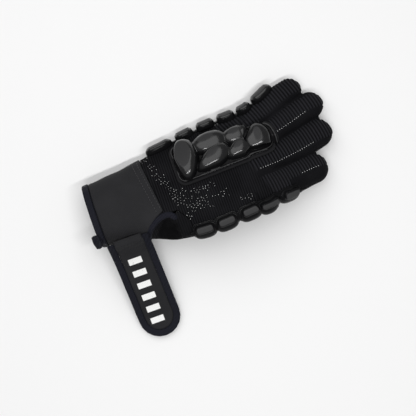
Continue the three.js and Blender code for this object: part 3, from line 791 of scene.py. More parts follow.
def cloth_material(look, colour, weave, wear, gaps, patches, specks, rough, relief,
                   specular, sheen):
    """Cloth, tape, foam or leather.

    weave is a group's name, builder, settings and the name of its mask; gaps are the
    shades between and inside the gaps, the inner one painted shade in the gaps or creases;
    patches and specks are a share and a shade, or none; rough is the roughness and what
    the gaps add; relief is strength and depth.
    """
    material, w, shader = start_material(look)
    group, build, values, mask = weave
    threads = use_group(w, group, build, **values)
    dust = use_group(w, "Dust and Rubbing", wear_group, amount=wear)
    # painted shade: the gaps between threads, or the leather's creases, take the darker shade
    base = w.mix(threads[mask], shade(colour, *gaps[0]), shade(colour, *gaps[1]))
    for name, layer in (("Patches", patches), ("Specks", specks)):
        if layer:
            share, tone = layer
            base = w.mix(w.math("MULTIPLY", dust[name], share), base, shade(colour, *tone))
    w.join(base, shader.inputs["Base Color"])
    shader.inputs["Roughness"].default_value = rough[0]
    if rough[1]:
        uneven = w.math("ADD", w.math("MULTIPLY", threads[mask], rough[1]), rough[0])
        w.join(uneven, shader.inputs["Roughness"])
    bump(w, shader, threads["Height"], *relief)
    shader.inputs["Specular IOR Level"].default_value = specular
    cloth_sheen(shader, *sheen)
    return material


def knit(pitch):
    return "Knitted Threads", knit_group, {"pitch": pitch}, "Gaps"


def plain_material():
    """Smooth stretch cloth of the wrist band, strap and side strips."""
    return cloth_material("plain_fabric", settings().plain, knit(0.0006), 0.6,
                          ((1.15, 0.001), (0.6,)), (0.4, (1.6, 0.008)), (0.6, (2.0, 0.04)),
                          (0.72, 0.12), (0.45, 0.00016), 0.16, (0.03, 0.5))


def leather_material():
    """Soft synthetic leather of the palm, paler where it is rubbed, with painted shade in its
    creases.
    """
    grain = ("Leather Grain", grain_group, {"scale": 760.0}, "Creases")
    return cloth_material("palm_leather", settings().leather, grain, 0.8,
                          ((1.1,), (0.5,)), (0.5, (1.8, 0.02)), None,
                          (0.56, 0.2), (0.5, 0.0002), 0.3, (0.02, 0.5))


def binding_material():
    """Woven tape that folds over the edges, with fine ribs across it."""
    return cloth_material("binding_tape", settings().binding, knit(0.0009), 0.4,
                          ((1.0, 0.0005), (0.35,)), None, (0.5, (2.0, 0.05)),
                          (0.55, 0.2), (0.6, 0.00025), 0.1, (0.02, 0.4))


def foam_material():
    """Cloth-faced foam of the pad under the knuckle guard."""
    return cloth_material("guard_padding", settings().plain, knit(0.0008), 0.5,
                          ((0.8,), (0.4,)), None, (0.5, (2.0, 0.03)),
                          (0.78, 0), (0.5, 0.0002), 0.15, (0.02, 0.5))


def moulding_material():
    """Moulded rubber whose flat faces are painted paler as a painted reflection, with polished
    shoulders round them.
    """
    guards = bpy.context.scene.glove_guards
    material, w, shader = start_material("guard_moulding")
    wear = use_group(w, "Dust and Rubbing", wear_group, amount=0.7)
    face = w.value("face")
    fine = w.noise(w.place(), 2600.0, 2.0)
    # painted reflection: the flat faces take the paler face colour
    base = w.mix(face, shade(guards.colour, 1.0), shade(guards.faces, 1.0))
    base = w.mix(w.math("MULTIPLY", wear["Patches"], 0.10), base, shade(guards.faces, 0.9, 0.01))
    base = w.mix(w.math("MULTIPLY", wear["Specks"], 0.25), base, shade(guards.faces, 2.0, 0.06))
    w.join(base, shader.inputs["Base Color"])
    rough = w.math("ADD", w.math("MULTIPLY", face, 0.18), 0.17)
    rough = w.math("ADD", rough, w.math("MULTIPLY", wear["Patches"], 0.10))
    w.join(rough, shader.inputs["Roughness"])
    bump(w, shader, fine, 0.12, 0.00008)
    shader.inputs["Specular IOR Level"].default_value = 0.06
    w.join(w.math("MULTIPLY", w.value("shine"), 0.9), shader.inputs["Coat Weight"])
    shader.inputs["Coat Roughness"].default_value = 0.19
    return material


def hook_material():
    """Short stiff hooks in rows on a woven back."""
    material, w, shader = start_material("hook_tape")
    dots = w.node("ShaderNodeTexVoronoi")
    w.join(w.place(), dots.inputs["Vector"])
    dots.inputs["Scale"].default_value = 1100.0
    tips = w.spread(dots.outputs["Distance"], 0.5, 0.15)
    base = w.mix(tips, (0.008, 0.008, 0.009, 1), (0.045, 0.045, 0.048, 1))
    w.join(base, shader.inputs["Base Color"])
    w.join(w.math("ADD", w.math("MULTIPLY", tips, -0.25), 0.75), shader.inputs["Roughness"])
    bump(w, shader, tips, 0.9, 0.0005)
    return material


def thread_material():
    colour = settings().thread
    material, w, shader = start_material("stitch_thread")
    strands = w.noise(w.place(), 3200.0, 2.0)
    base = w.mix(strands, shade(colour, 0.7), shade(colour, 1.5, 0.01))
    w.join(base, shader.inputs["Base Color"])
    shader.inputs["Roughness"].default_value = 0.55
    bump(w, shader, strands, 0.4, 0.0001)
    return material


def marks_material():
    """White print that the cloth below shows through a little where it is worn, with painted shade
    in the gaps between its threads.
    """
    colour = settings().marks
    material, w, shader = start_material("white_print")
    knit = use_group(w, "Knitted Threads", knit_group, pitch=0.0006)
    worn = w.spread(w.noise(w.place(), 420.0, 4.0), 0.62, 0.74)
    # painted shade in the gaps between threads
    base = w.mix(w.math("MULTIPLY", knit["Gaps"], 0.35), shade(colour, 1.0), shade(colour, 0.6))
    base = w.mix(w.math("MULTIPLY", worn, 0.6), base, shade(colour, 0.35))
    w.join(base, shader.inputs["Base Color"])
    shader.inputs["Roughness"].default_value = 0.6
    bump(w, shader, knit["Height"], 0.3, 0.0001)
    return material


FINISHES = {}


def material_for(name):
    builders = {
        "ribbed_fabric": ribbed_material,
        "plain_fabric": plain_material,
        "palm_leather": leather_material,
        "binding_tape": binding_material,
        "guard_moulding": moulding_material,
        "guard_padding": foam_material,
        "hook_tape": hook_material,
        "stitch_thread": thread_material,
        "white_print": marks_material,
    }
    if name not in FINISHES:
        FINISHES[name] = builders[name]()
    return FINISHES[name]


# Fabric panels

# Where the finger ribs take over from the fine ribs of the hand: place along the hand
# in its middle, how that shifts across it, and how softly they change.
RIB_BORDER = (124.0, -0.4)
RIB_FADE = 4.0
SEAM_DEPTH = 0.45
# Depth of the hollow that the slit leaves beside the wrist band.
SLIT_DEPTH = 8.0
# Seam between ribbed top and plain strip of each finger: side place as a share of the
# half width at the root and at the tip, and where along the hand it starts.
FINGER_SEAMS = {
    "little": (-0.46, -0.40, 150.0),
    "ring": (-0.34, -0.28, 148.0),
    "middle": (-0.44, -0.48, 131.0),
    "index": (-0.02, -0.02, 158.0),
}


def smooth_step(value, low, high):
    t = np.clip((value - low) / (high - low), 0, 1)
    return t * t * (3 - 2 * t)


def seam_place(sleeve, x):
    """Where a finger's seam lies across the hand at x."""
    rows = SLEEVES[sleeve][0]
    at_root, at_tip, _ = FINGER_SEAMS[sleeve]
    half = np.interp(x, rows[:, 0], rows[:, 3]) / 2
    share = np.interp(x, (rows[0, 0], rows[-1, 0]), (at_root, at_tip))
    return np.interp(x, rows[:, 0], rows[:, 1]) + share * half


def rib_phase(points):
    """Crest height of the ribs, their strength, and how far past a seam, for each point."""
    fabric = settings()
    best = np.full(len(points), 1e9)
    run = points[:, 0] * 0
    past = np.full(len(points), -20.0)
    for number, (sleeve, (rows, _)) in enumerate(SLEEVES.items()):
        root = rows[0, :3]
        axis = unit(rows[-1, :3] - root)
        side = np.hypot(points[:, 1] - np.interp(points[:, 0], rows[:, 0], rows[:, 1]),
                        (points[:, 2] - np.interp(points[:, 0], rows[:, 0], rows[:, 2])) * 0.6)
        nearer = side < best
        best = np.where(nearer, side, best)
        run = np.where(nearer, (points - root) @ axis + number * 0.9, run)
        start = FINGER_SEAMS[sleeve][2]
        beyond = seam_place(sleeve, points[:, 0]) - points[:, 1]
        beyond = np.minimum(beyond, (points[:, 0] - start) * 0.6)
        past = np.where(nearer, beyond, past)
    finger = 0.5 + 0.5 * np.cos(2 * math.pi * run * MM / fabric.rib_pitch)
    hand = 0.5 + 0.5 * np.cos(2 * math.pi * points[:, 0] * MM / fabric.back_pitch)
    border = RIB_BORDER[0] + RIB_BORDER[1] * points[:, 1]
    ahead = smooth_step(points[:, 0] - border, -RIB_FADE, RIB_FADE)
    crest = finger * ahead + hand * (1 - ahead)
    strength = ahead + 0.34 * (1 - ahead)
    return crest, strength, past


def slit_hollow(points, outward):
    """How far the heel fabric sinks inside the open slit of the wrist band."""
    along = np.interp(points[:, 1], (-46.0, -36.0, -29.0), (33.0, 36.0, 37.0))
    half = np.interp(points[:, 1], (-46.0, -36.0, -29.0), (14.0, 11.0, 4.0))
    inside = 1 - smooth_step(np.abs(points[:, 0] - along) / half, 0.5, 1.1)
    top = 1 - smooth_step(points[:, 1], -29.5, -26.5)
    raised = smooth_step(outward[:, 2], 0.15, 0.6)
    return SLIT_DEPTH * inside * top * raised


def in_shade(piece):
    """Painted shade: a factor for the cloth's paler side that falls to nothing inside the slit."""
    sunk = slit_hollow(from_scene(coordinates(piece)), directions(piece))
    return 1 - sunk / SLIT_DEPTH


def lay_on_form(piece, field, wall, lift, uneven=0.25, seed=1):
    """Moves a remeshed panel onto a smooth form, keeping its two faces a wall apart."""
    points = from_scene(coordinates(piece))
    facing_from = directions(piece)
    here = field(points)
    outward, size = gradient(field, points, here)
    facing = dot(facing_from, outward)
    snapped = wall * (1 - np.sign(facing)) / 2
    kept = np.clip(lift - here, 0, wall)
    share = smooth_step(np.abs(facing), 0.35, 0.75)
    depth = snapped * share + kept * (1 - share)
    swell = waves(points, seed, 17.0) * uneven
    target = lift - depth + swell * smooth_step(points[:, 2], 2.0, 6.0)
    if field is glove_distance:
        target = target - slit_hollow(points, outward)
    for _ in range(3):
        points -= outward * np.clip((here - target) / size, -2.5, 2.5)[:, None]
        here = field(points)
    points[:, 2] = np.maximum(points[:, 2], 0.0)
    move_points(piece, to_scene(points))
    return points, outward, facing


def ease(piece, rounds):
    """Evens a piece's mesh a little without shrinking its thin edges away."""
    apply_modifier(piece, "CORRECTIVE_SMOOTH", factor=0.5, iterations=rounds,
                   smooth_type="LENGTH_WEIGHTED", use_only_smooth=True)


def thin_inside(piece, facing, share):
    """Fewer faces on a panel's hidden inner side."""
    group = piece.vertex_groups.new(name="inside")
    inner = np.flatnonzero(facing < -0.6)
    group.add([int(i) for i in inner], 1.0, "REPLACE")
    apply_modifier(piece, "DECIMATE", ratio=share, vertex_group="inside",
                   vertex_group_factor=10.0, use_symmetry=False)
    piece.vertex_groups.clear()


def soft_panel(name, node, voxel, field, lift=0.0, wall=None, seed=1, uneven=0.2):
    piece = copy_of(node, name)
    remesh(piece, voxel)
    wall = wall or settings().wall / MM
    ease(piece, 2)
    lay_on_form(piece, field, wall, lift, uneven, seed)
    ease(piece, 2)
    return piece


class GLOVE_OT_back(bpy.types.Operator):
    """Ribbed stretch back of the hand and fingers"""
    bl_idname = "glove.back_panel"
    bl_label = "Back Panel"

    def execute(self, context):
        fabric = settings()
        piece = copy_of("back_panel", "back_fabric")
        remesh(piece, fabric.panel_voxel)
        ease(piece, 2)
        points, outward, facing = lay_on_form(
            piece, glove_distance, fabric.wall / MM, 0.0, 0.22, 3)
        crest, strength, past = rib_phase(points)
        ribbed = 1 - smooth_step(past, -0.4, 0.4)
        outer = smooth_step(facing, 0.2, 0.7)
        raise_by = (crest - 0.5) * strength * ribbed * fabric.rib_depth / MM
        raise_by -= SEAM_DEPTH * np.exp(-(past / 0.7) ** 2)
        points += outward * (raise_by * outer)[:, None]
        move_points(piece, to_scene(points))
        thin_inside(piece, facing, 0.66)
        points = from_scene(coordinates(piece))
        crest, strength, past = rib_phase(points)
        # level for the colour: painted shade in the rib grooves and painted light on the crests, a
        # darker tone over the hand's fine ribs, and painted shade inside the slit
        level = 0.5 - 0.26 * (1 - smooth_step(strength, 0.4, 0.95))
        level = level + (crest - 0.5) * (0.3 + 0.7 * strength)
        add_attribute(piece, "rib_painted_shade", level * in_shade(piece))
        add_attribute(piece, "strip", smooth_step(past, -0.3, 0.3))
        finish_piece(piece, "ribbed_fabric", "back_panel")
        return {"FINISHED"}


class GLOVE_OT_palm(bpy.types.Operator):
    """Leather palm and the thumb sleeve under it"""
    bl_idname = "glove.palm"
    bl_label = "Palm and Thumb"

    def execute(self, context):
        voxel = settings().plain_voxel * 1.15
        for name, node, field, seed in (
                ("palm_leather_panel", "palm_panel", glove_distance, 4),
                ("thumb_fabric", "thumb_sleeve", thumb_distance, 5)):
            piece = soft_panel(name, node, voxel, field, seed=seed)
            finish_piece(piece, "palm_leather", node)
        return {"FINISHED"}


# Where the heel fabric ends and the plain side strip starts.
HEEL_END = 64.0


class GLOVE_OT_sides(bpy.types.Operator):
    """Plain strips along the outer fingers and between the fingers"""
    bl_idname = "glove.side_strips"
    bl_label = "Side Strips"

    def execute(self, context):
        strips = {
            "side_panel_ulnar": "little_finger_side",
            "side_panel_radial": "index_finger_side",
            "fourchette_little_ring": "strip_little_ring",
            "fourchette_ring_middle": "strip_ring_middle",
            "fourchette_middle_index": "strip_middle_index",
        }
        for seed, (node, name) in enumerate(strips.items()):
            piece = soft_panel(name, node, settings().plain_voxel * 0.85,
                               glove_distance, seed=seed + 10)
            points = from_scene(coordinates(piece))
            crest = 0.5 + 0.5 * np.cos(2 * math.pi * points[:, 0] * MM / settings().back_pitch)
            # level for the colour: painted shade in the fine ribs' grooves and painted light on
            # their crests, and painted shade inside the slit
            add_attribute(piece, "rib_painted_shade", (0.24 + (crest - 0.5) * 0.4) * in_shade(piece))
            add_attribute(piece, "strip", smooth_step(points[:, 0], HEEL_END - 2, HEEL_END + 2))
            finish_piece(piece, "plain_fabric", node, look="ribbed_fabric")
        return {"FINISHED"}


# The bound edge of the slit, in plan, from the strap round to the heel fabric.
SLIT_PATH = ((14.2, -44.0), (15.4, -41.0), (17.2, -36.8), (21.0, -32.2), (27.2, -27.8),
             (34.1, -25.0), (40.2, -24.6), (44.6, -27.2), (46.4, -31.8), (45.8, -36.5))
SLIT_WIDTH = 6.4
SLIT_THICK = 2.6


def slit_bead():
    """Bound edge that runs from the strap up the slit and curls over at its end."""
    under = surface_of(*[bpy.data.objects[name] for name in
                         ("wrist_band", "back_fabric", "index_finger_side")])
    line = plan_line(SLIT_PATH, 1.0)
    even_out(line, 6)
    _, left = line_axes(line)
    height = np.full(len(line), np.nan)
    for i, place in enumerate(line):
        met, _ = drop(under, place[None])
        if len(met):
            height[i] = from_scene(met)[0, 2]
    number = np.arange(len(line), dtype=float)
    met = np.flatnonzero(np.isfinite(height))
    height = np.interp(number, met, height[met])
    even_out(height, 12)
    height -= 3.0 * smooth_step(number / len(line), 0.72, 1.0)
    across = np.arange(-6.0, 6.1, 2.0)
    table = np.zeros((len(line), len(across), 3))
    table[..., :2] = line[:, None] + left[:, None] * across[:, None]
    table[..., 2] = height[:, None]
    outward = np.zeros_like(table)
    outward[..., 2] = 1.0
    sheet = CurvedSheet(number, across, table, outward)
    bead = rounded_block("slit_edge_binding", len(line) / 2, 0, len(line) - 4, SLIT_WIDTH,
                         -0.8, SLIT_THICK - 0.8, 3.0, 8, top=(1.0, 0.7))
    flat, _ = soften(bead, 0.45, 4)
    fold = waves(flat, 41, 6.0) * 0.25
    flat[:, 2] += fold * smooth_step(flat[:, 2], 0, 1)
    move_points(bead, to_scene(sheet.lay(flat)))
    finish_piece(bead, "binding_tape", "slit_binding")
    return bead


class GLOVE_OT_cuff(bpy.types.Operator):
    """Elastic wrist band, its bound edge and the bound slit"""
    bl_idname = "glove.cuff"
    bl_label = "Wrist Band"

    def execute(self, context):
        voxel = settings().plain_voxel
        band = soft_panel("wrist_band", "cuff_band", voxel, cuff_distance, 1.0, 3.0, 20, 0.3)
        finish_piece(band, "plain_fabric", "cuff_band")
        softened("cuff_binding", "wrist_binding", voxel * 0.8, 4, "binding_tape")
        slit_bead()
        softened("pull_loop", "pull_tab", voxel * 0.5, 4, "binding_tape")
        return {"FINISHED"}


# Wrist strap

# Crease where the strap folds away from the wrist band, in plan.
STRAP_CREASE = ((-18.0, -2.0, 14.0), (-42.4, -40.0, -38.4))
# Height of the strap's middle over the table along its length.
STRAP_HEIGHTS = ((-132.0, -124.0, -114.0, -100.0, -80.0, -60.0, -49.0, -42.5, -38.5, -33.0, -28.0),
                 (3.2, 3.3, 4.8, 9.4, 16.2, 23.4, 28.0, 32.5, 38.6, 43.2, 46.0))


def strap_height(y):
    return np.interp(y, *STRAP_HEIGHTS)


class GLOVE_OT_strap(bpy.types.Operator):
    """Open wrist strap with its bound edge and the fastener under its end"""
    bl_idname = "glove.strap"
    bl_label = "Wrist Strap"

    def execute(self, context):
        voxel = settings().plain_voxel
        panel = copy_of("strap_panel", "strap_fabric")
        remesh(panel, voxel * 0.85, 4)
        apply_modifier(panel, "DISPLACE", strength=0.00045, mid_level=0.0)
        points = from_scene(coordinates(panel))
        further = points[:, 1] + 5.0 * smooth_step(points[:, 1], -58.0, -42.0)
        points[:, 2] += strap_height(further) - strap_height(points[:, 1])
        points[:, 1] = further
        crease = np.interp(points[:, 0], STRAP_CREASE[0], STRAP_CREASE[1])
        top = smooth_step(directions(panel)[:, 2], 0.3, 0.8)
        points[:, 2] -= 0.9 * top * np.exp(-((points[:, 1] - crease) / 0.7) ** 2)
        move_points(panel, to_scene(points))
        finish_piece(panel, "plain_fabric", "strap_panel")
        softened("strap_binding", "strap_edge_binding", voxel * 0.75, 4, "binding_tape")
        softened("hook_patch", "hook_fastener", voxel * 0.6, 3, "hook_tape")
        return {"FINISHED"}


# Guards

# Bumps of the knuckle guard: place in plan, length, width, height over the fabric,
# turn in degrees, width of the tail end as a share, how deep the flat face is cut as a
# share, and how far the face leans along the hand and towards the little finger.
KNUCKLE_BUMPS = (
    (73.0, 15.0, 37.5, 23.5, 13.2, 78, 0.66, 0.80, -0.16, 0.12),
    (98.0, 23.0, 35.5, 19.0, 12.8, 2, 0.84, 0.97, -0.06, 0.20),
    (97.2, 8.6, 37.0, 19.5, 13.2, 20, 0.52, 0.97, -0.08, 0.18),
    (122.8, 21.6, 26.5, 16.5, 12.0, 2, 0.84, 0.97, -0.06, 0.20),
    (121.6, 9.0, 26.5, 17.0, 12.2, 20, 0.56, 0.97, -0.08, 0.18),
    (141.6, 12.6, 24.5, 18.5, 11.6, 44, 0.60, 0.96, -0.10, 0.18),
)
# The flange under the bumps and the pad under the flange, lifts over the fabric.
FLANGE_CORNERS = ((61.0, -4.0), (157.0, -0.8), (157.0, 21.5), (61.0, 31.5))
FLANGE_LIFT = 2.8
FLANGE_ROUND = 7.0
RIM_DEPTH = 1.3
BUMP_FOOT = 4.0
BUMP_FULLNESS = 2.4
PAD_MARGIN = 2.2
PAD_LIFT = 0.35
# Where each block of the edge guards starts and ends along the hand, and the foot and
# top of the plate under it.
ULNAR_BLOCKS = ((40.7, 65.1), (71.6, 87.0), (93.4, 108.7), (114.4, 128.5), (134.7, 150.0),
                (154.8, 174.1))
RADIAL_BLOCKS = ((59.6, 76.4), (80.7, 97.3), (104.1, 120.7), (122.5, 137.7), (141.2, 155.6))
PLATE_FOOT = 0.3
PLATE_TOP = 1.9


def cubic_weights(t):
    """Weights of four neighbours for smooth interpolation at t between the middle two."""
    t2 = t * t
    t3 = t2 * t
    return np.stack([-0.5 * t + t2 - 0.5 * t3, 1 - 2.5 * t2 + 1.5 * t3,
                     0.5 * t + 2 * t2 - 1.5 * t3, -0.5 * t2 + 0.5 * t3], 0)


class CurvedSheet:
    """Places and outward directions over a strip of the glove, looked up smoothly."""

    def __init__(self, along, across, places, outward):
        self.start = (along[0], across[0])
        self.step = (along[1] - along[0], across[1] - across[0])
        self.table = np.concatenate([places, outward], -1)

    def lay(self, flat):
        """Points of a flat form, along, across and up, laid on the curved strip."""
        total = 0
        spans = []
        for axis in (0, 1):
            at = (flat[:, axis] - self.start[axis]) / self.step[axis]
            at = np.clip(at, 1, self.table.shape[axis] - 2.001)
            first = np.floor(at).astype(int)
            spans.append((first, cubic_weights(at - first)))
        (i, weight_i), (j, weight_j) = spans
        for a in range(4):
            for b in range(4):
                share = (weight_i[a] * weight_j[b])[:, None]
                total = total + share * self.table[i + a - 1, j + b - 1]
        return total[:, :3] + unit(total[:, 3:]) * flat[:, 2:3]


def back_sheet():
    along = np.arange(50.0, 176.0, 3.0)
    across = np.arange(-16.0, 41.0, 3.0)
    x, y = [grid.ravel() for grid in np.meshgrid(along, across, indexing="ij")]
    return sheet_of(along, across, over_back(x, y, x * 0))


def sheet_of(along, across, places):
    """A strip from a grid of its places, with the glove's outward directions there."""
    _, outward = settle(glove_distance, places, 1)
    shape = (len(along), len(across), 3)
    return CurvedSheet(along, across, places.reshape(shape), outward.reshape(shape))


def edge_sheet(sleeve, turn, sign, first, last):
    """A strip round one edge; across is the arc length from the outermost line."""
    place = along_edge(sleeve, turn)
    along = np.arange(first - 12.0, last + 12.1, 3.0)
    across = np.arange(-16.0, 24.1, 2.0)
    angles = np.linspace(-1.1, 1.5, 53)
    rows = []
    for x in along:
        line = place(np.full(len(angles), x), sign * angles, angles * 0)
        run = run_length(line)
        run -= np.interp(0, angles, run)
        at = np.interp(across, run, angles)
        rows.append(np.stack([np.full(len(at), x), sign * at], -1))
    x, angle = np.array(rows).reshape(-1, 2).T
    return sheet_of(along, across, place(x, angle, x * 0))


def pick(piece, kind, test):
    """Selects the edges or faces of the piece being edited that pass a test."""
    bpy.ops.mesh.select_mode(type=kind)
    bpy.ops.mesh.select_all(action="DESELECT")
    mesh = bmesh.from_edit_mesh(piece.data)
    mesh.normal_update()
    for part in mesh.edges if kind == "EDGE" else mesh.faces:
        part.select_set(test(part))
    bmesh.update_edit_mesh(piece.data)


def domed_bump(x, y, length, width, height, turn, tail, cut, lean_x, lean_y,
               foot=BUMP_FOOT, fullness=BUMP_FULLNESS, rounds=10):
    """A rounded bump with a narrower tail, cut flat on top, and the cutting plane."""
    clear_selection()
    bpy.ops.mesh.primitive_uv_sphere_add(segments=40, ring_count=24, radius=1)
    piece = bpy.context.object
    normal = np.array([lean_x, lean_y, 1.0])
    normal /= np.linalg.norm(normal)
    rise = (height - foot) / cut
    points = coordinates(piece)
    full = (np.abs(points) ** fullness).sum(1) ** (-1 / fullness)
    points = points * full[:, None] * np.array([length / 2, width / 2, rise])
    back = np.clip(-points[:, 0] / (length / 2), 0, 1)
    points[:, 1] *= 1 - (1 - tail) * back
    points[:, 2] *= 1 - 0.25 * (1 - tail) * back
    points = points @ turned_by(turn)
    reach = (points @ normal).max() * cut
    move_points(piece, points)
    choose(piece)
    bpy.ops.object.mode_set(mode="EDIT")
    bpy.ops.mesh.select_all(action="SELECT")
    bpy.ops.mesh.bisect(plane_co=normal * reach, plane_no=normal, use_fill=True,
                        clear_outer=True)
    bpy.ops.mesh.select_all(action="SELECT")
    bpy.ops.mesh.bisect(plane_co=(0, 0, -1.0), plane_no=(0, 0, -1), use_fill=True,
                        clear_outer=True)
    bpy.ops.mesh.select_all(action="SELECT")
    bpy.ops.transform.translate(value=(x, y, foot))
    bpy.ops.object.mode_set(mode="OBJECT")
    remesh(piece, 0.5, rounds)
    offset = reach + normal @ np.array([x, y, foot])
    return piece, (normal, offset)


def turned_by(degrees):
    angle = math.radians(degrees)
    return np.array([(math.cos(angle), math.sin(angle), 0),
                     (-math.sin(angle), math.cos(angle), 0), (0, 0, 1)])


def upright(edge):
    a, b = edge.verts
    return (a.co.xy - b.co.xy).length < 1e-4


def is_top(face):
    return face.normal.z > 0.9


def start_block(name, length, width, low, high):
    """A block in flat space, left in edit mode, with its middle over the origin."""
    clear_selection()
    bpy.ops.mesh.primitive_cube_add(size=1, location=(0, 0, 0))
    piece = bpy.context.object
    piece.name = name
    bpy.ops.object.mode_set(mode="EDIT")
    bpy.ops.mesh.select_all(action="SELECT")
    bpy.ops.transform.resize(value=(length, width, high - low), center_override=(0, 0, 0))
    bpy.ops.transform.translate(value=(0, 0, (high + low) / 2))
    return piece


def rounded_block(name, x, y, length, width, low, high, corner, rounds, top=(0.9, 0.85)):
    """A raised block with rounded corners and a smaller flat top, softened in rounds."""
    piece = start_block(name, length, width, low, high)
    pick(piece, "EDGE", upright)
    bpy.ops.mesh.bevel(offset=min(corner, width * 0.48), segments=6, affect="EDGES",
                       clamp_overlap=True)
    pick(piece, "FACE", is_top)
    bpy.ops.transform.resize(value=(top[0], top[1], 1), center_override=(0, 0, 0))
    bpy.ops.object.mode_set(mode="OBJECT")
    if rounds:
        remesh(piece, 0.55, rounds)
    move_points(piece, coordinates(piece) + np.array([x, y, 0]))
    return piece


def rimmed_plate(name, corners, low, high, corner, rim, sunk):
    """A plate with the given corners, rounded, with a raised rim round its top."""
    piece = start_block(name, 1.0, 1.0, low, high)
    mesh = bmesh.from_edit_mesh(piece.data)
    near, near_end, far_end, far = corners
    for vertex in mesh.verts:
        pair = (near, near_end) if vertex.co.y < 0 else (far, far_end)
        vertex.co.x, vertex.co.y = pair[vertex.co.x > 0]
    bmesh.update_edit_mesh(piece.data)
    pick(piece, "EDGE", upright)
    bpy.ops.mesh.bevel(offset=corner, segments=7, affect="EDGES", clamp_overlap=True)
    if rim:
        pick(piece, "FACE", is_top)
        bpy.ops.mesh.inset(thickness=rim, depth=0)
        bpy.ops.mesh.inset(thickness=0.35, depth=-sunk)
    bpy.ops.object.mode_set(mode="OBJECT")
    return piece


def soften(piece, voxel, rounds):
    """One skin over joined blocks, eased like a moulding, still in flat space."""
    remesh(piece, voxel, rounds)
    return coordinates(piece), directions(piece)


def lay_guard(piece, sheet, voxel, rounds, planes, foot):
    """Softens a flat guard, marks its faces for a painted reflection and its shoulders for polish,
    and lays it on the glove.
    """
    flat, facing = soften(piece, voxel, rounds)
    # mask of the painted reflection on flat faces; pale sets how strong it is for each plane
    face = np.zeros(len(flat))
    for normal, offset, pale in planes:
        level = smooth_step(facing @ normal, 0.965, 0.99)
        near = 1 - smooth_step(np.abs(flat @ normal - offset), 0.25, 0.7)
        face = np.maximum(face, level * near * pale)
    shine = smooth_step(facing[:, 2], 0.5, 0.68) * smooth_step(flat[:, 2], foot, foot + 2.0)
    move_points(piece, to_scene(sheet.lay(flat)))
    add_attribute(piece, "face", face)
    add_attribute(piece, "shine", shine * (1 - np.minimum(face * 1.5, 1)))
    return piece


class GLOVE_OT_knuckle_guard(bpy.types.Operator):
    """Glossy knuckle guard with six bumps on a rimmed flange, and its pad"""
    bl_idname = "glove.knuckle_guard"
    bl_label = "Knuckle Guard"

    def execute(self, context):
        guards = context.scene.glove_guards
        sheet = back_sheet()
        flange_top = FLANGE_LIFT + guards.flange / MM
        parts = [rimmed_plate("flange", FLANGE_CORNERS, FLANGE_LIFT, flange_top,
                              FLANGE_ROUND, guards.rim / MM, RIM_DEPTH)]
        planes = []
        for row in KNUCKLE_BUMPS:
            bump_piece, plane = domed_bump(*row)
            parts.append(bump_piece)
            # a weaker painted reflection on each bump's flat face
            planes.append((*plane, 0.65))
        guard = merge(parts, "knuckle_moulding")
        # painted highlight on the top of the flange's rim
        planes.append((np.array([0, 0, 1.0]), flange_top, 1.0))
        lay_guard(guard, sheet, guards.detail / MM, 2, planes, flange_top + 2.6)
        finish_piece(guard, "guard_moulding", "knuckle_guard")

        out = PAD_MARGIN
        signs = ((-1, -1), (1, -1), (1, 1), (-1, 1))
        corners = [(x + right * out, y + up * out)
                   for (x, y), (right, up) in zip(FLANGE_CORNERS, signs)]
        pad = rimmed_plate("knuckle_pad", corners, PAD_LIFT, PAD_LIFT + guards.pad / MM,
                           FLANGE_ROUND + out, 0, 0)
        flat, _ = soften(pad, 0.5, 6)
        puff = waves(flat, 31, 9.0) * 0.08
        flat[:, 2] += puff * smooth_step(flat[:, 2], PAD_LIFT + 0.8, PAD_LIFT + 1.6)
        move_points(pad, to_scene(sheet.lay(flat)))
        finish_piece(pad, "guard_padding", "guard_pad")
        return {"FINISHED"}


def edge_guard(name, node, sheet, blocks, centre, plate, top, ends=()):
    """A row of rounded blocks on scalloped plates that a narrow strip joins.

    plate: how far a block's plate reaches past it along and across, half width of the
    strip, width of the plate's rim, and height, middle and width of a dome under the
    block, or none. top: the block's width, middle, extra length, corner, fullness if it
    is a dome, and the height where its polish starts. A dome's corner is the share of
    its height where it is cut flat. ends: where the end tabs are.
    """
    detail = bpy.context.scene.glove_guards.detail / MM
    high = PLATE_TOP + bpy.context.scene.glove_guards.block_height / MM
    reach, side, strip, rim, dome = plate
    width, middle, longer, corner, fullness, polish = top
    parts = []
    planes = []
    steps = np.linspace(sum(blocks[0]) / 2, sum(blocks[-1]) / 2, 25)
    for start, end in zip(steps[:-1], steps[1:]):
        parts.append(rounded_block("strip", (start + end) / 2, centre, end - start + 0.8,
                                   strip * 2, PLATE_FOOT, PLATE_TOP - 0.3, 0.1, 0,
                                   top=(1.0, 0.98)))
    for start, end in blocks:
        at = (start + end) / 2
        length = end - start
        corners = ((start - reach, centre - side), (end + reach, centre - side),
                   (end + reach, centre + side), (start - reach, centre + side))
        parts.append(rimmed_plate("plate", corners, PLATE_FOOT, PLATE_TOP + 0.3, 4.5, rim, 0.5))
        if dome:
            height, dome_middle, dome_width = dome
            parts.append(domed_bump(at, dome_middle, length + 4.6, dome_width, height,
                                    0, 1.0, 0.97, 0, 0, PLATE_FOOT, 2.8, 5)[0])
        if fullness:
            block, plane = domed_bump(at, middle, length + longer, width, high,
                                      0, 1.0, corner, 0, 0, 0.6, fullness, 6)
        else:
            block = rounded_block("block", at, middle, length + longer, width,
                                  PLATE_FOOT, high, corner, 3, top=(0.92, 0.74))
            plane = (np.array([0, 0, 1.0]), high - 0.15)
        parts.append(block)
        # painted reflection on the block's flat top
        planes.append((*plane, 1.0))
    for at in ends:
        parts.append(rounded_block("tab", at, centre - 1.0, 5.0, 5.0, PLATE_FOOT,
                                   PLATE_TOP + 0.4, 2.4, 3))
    guard = merge(parts, name)
    lay_guard(guard, sheet, detail * 1.05, 3, planes, polish)
    points = coordinates(guard)
    points[:, 2] = np.maximum(points[:, 2], 0.0003)
    move_points(guard, points)
    finish_piece(guard, "guard_moulding", node)
    return guard


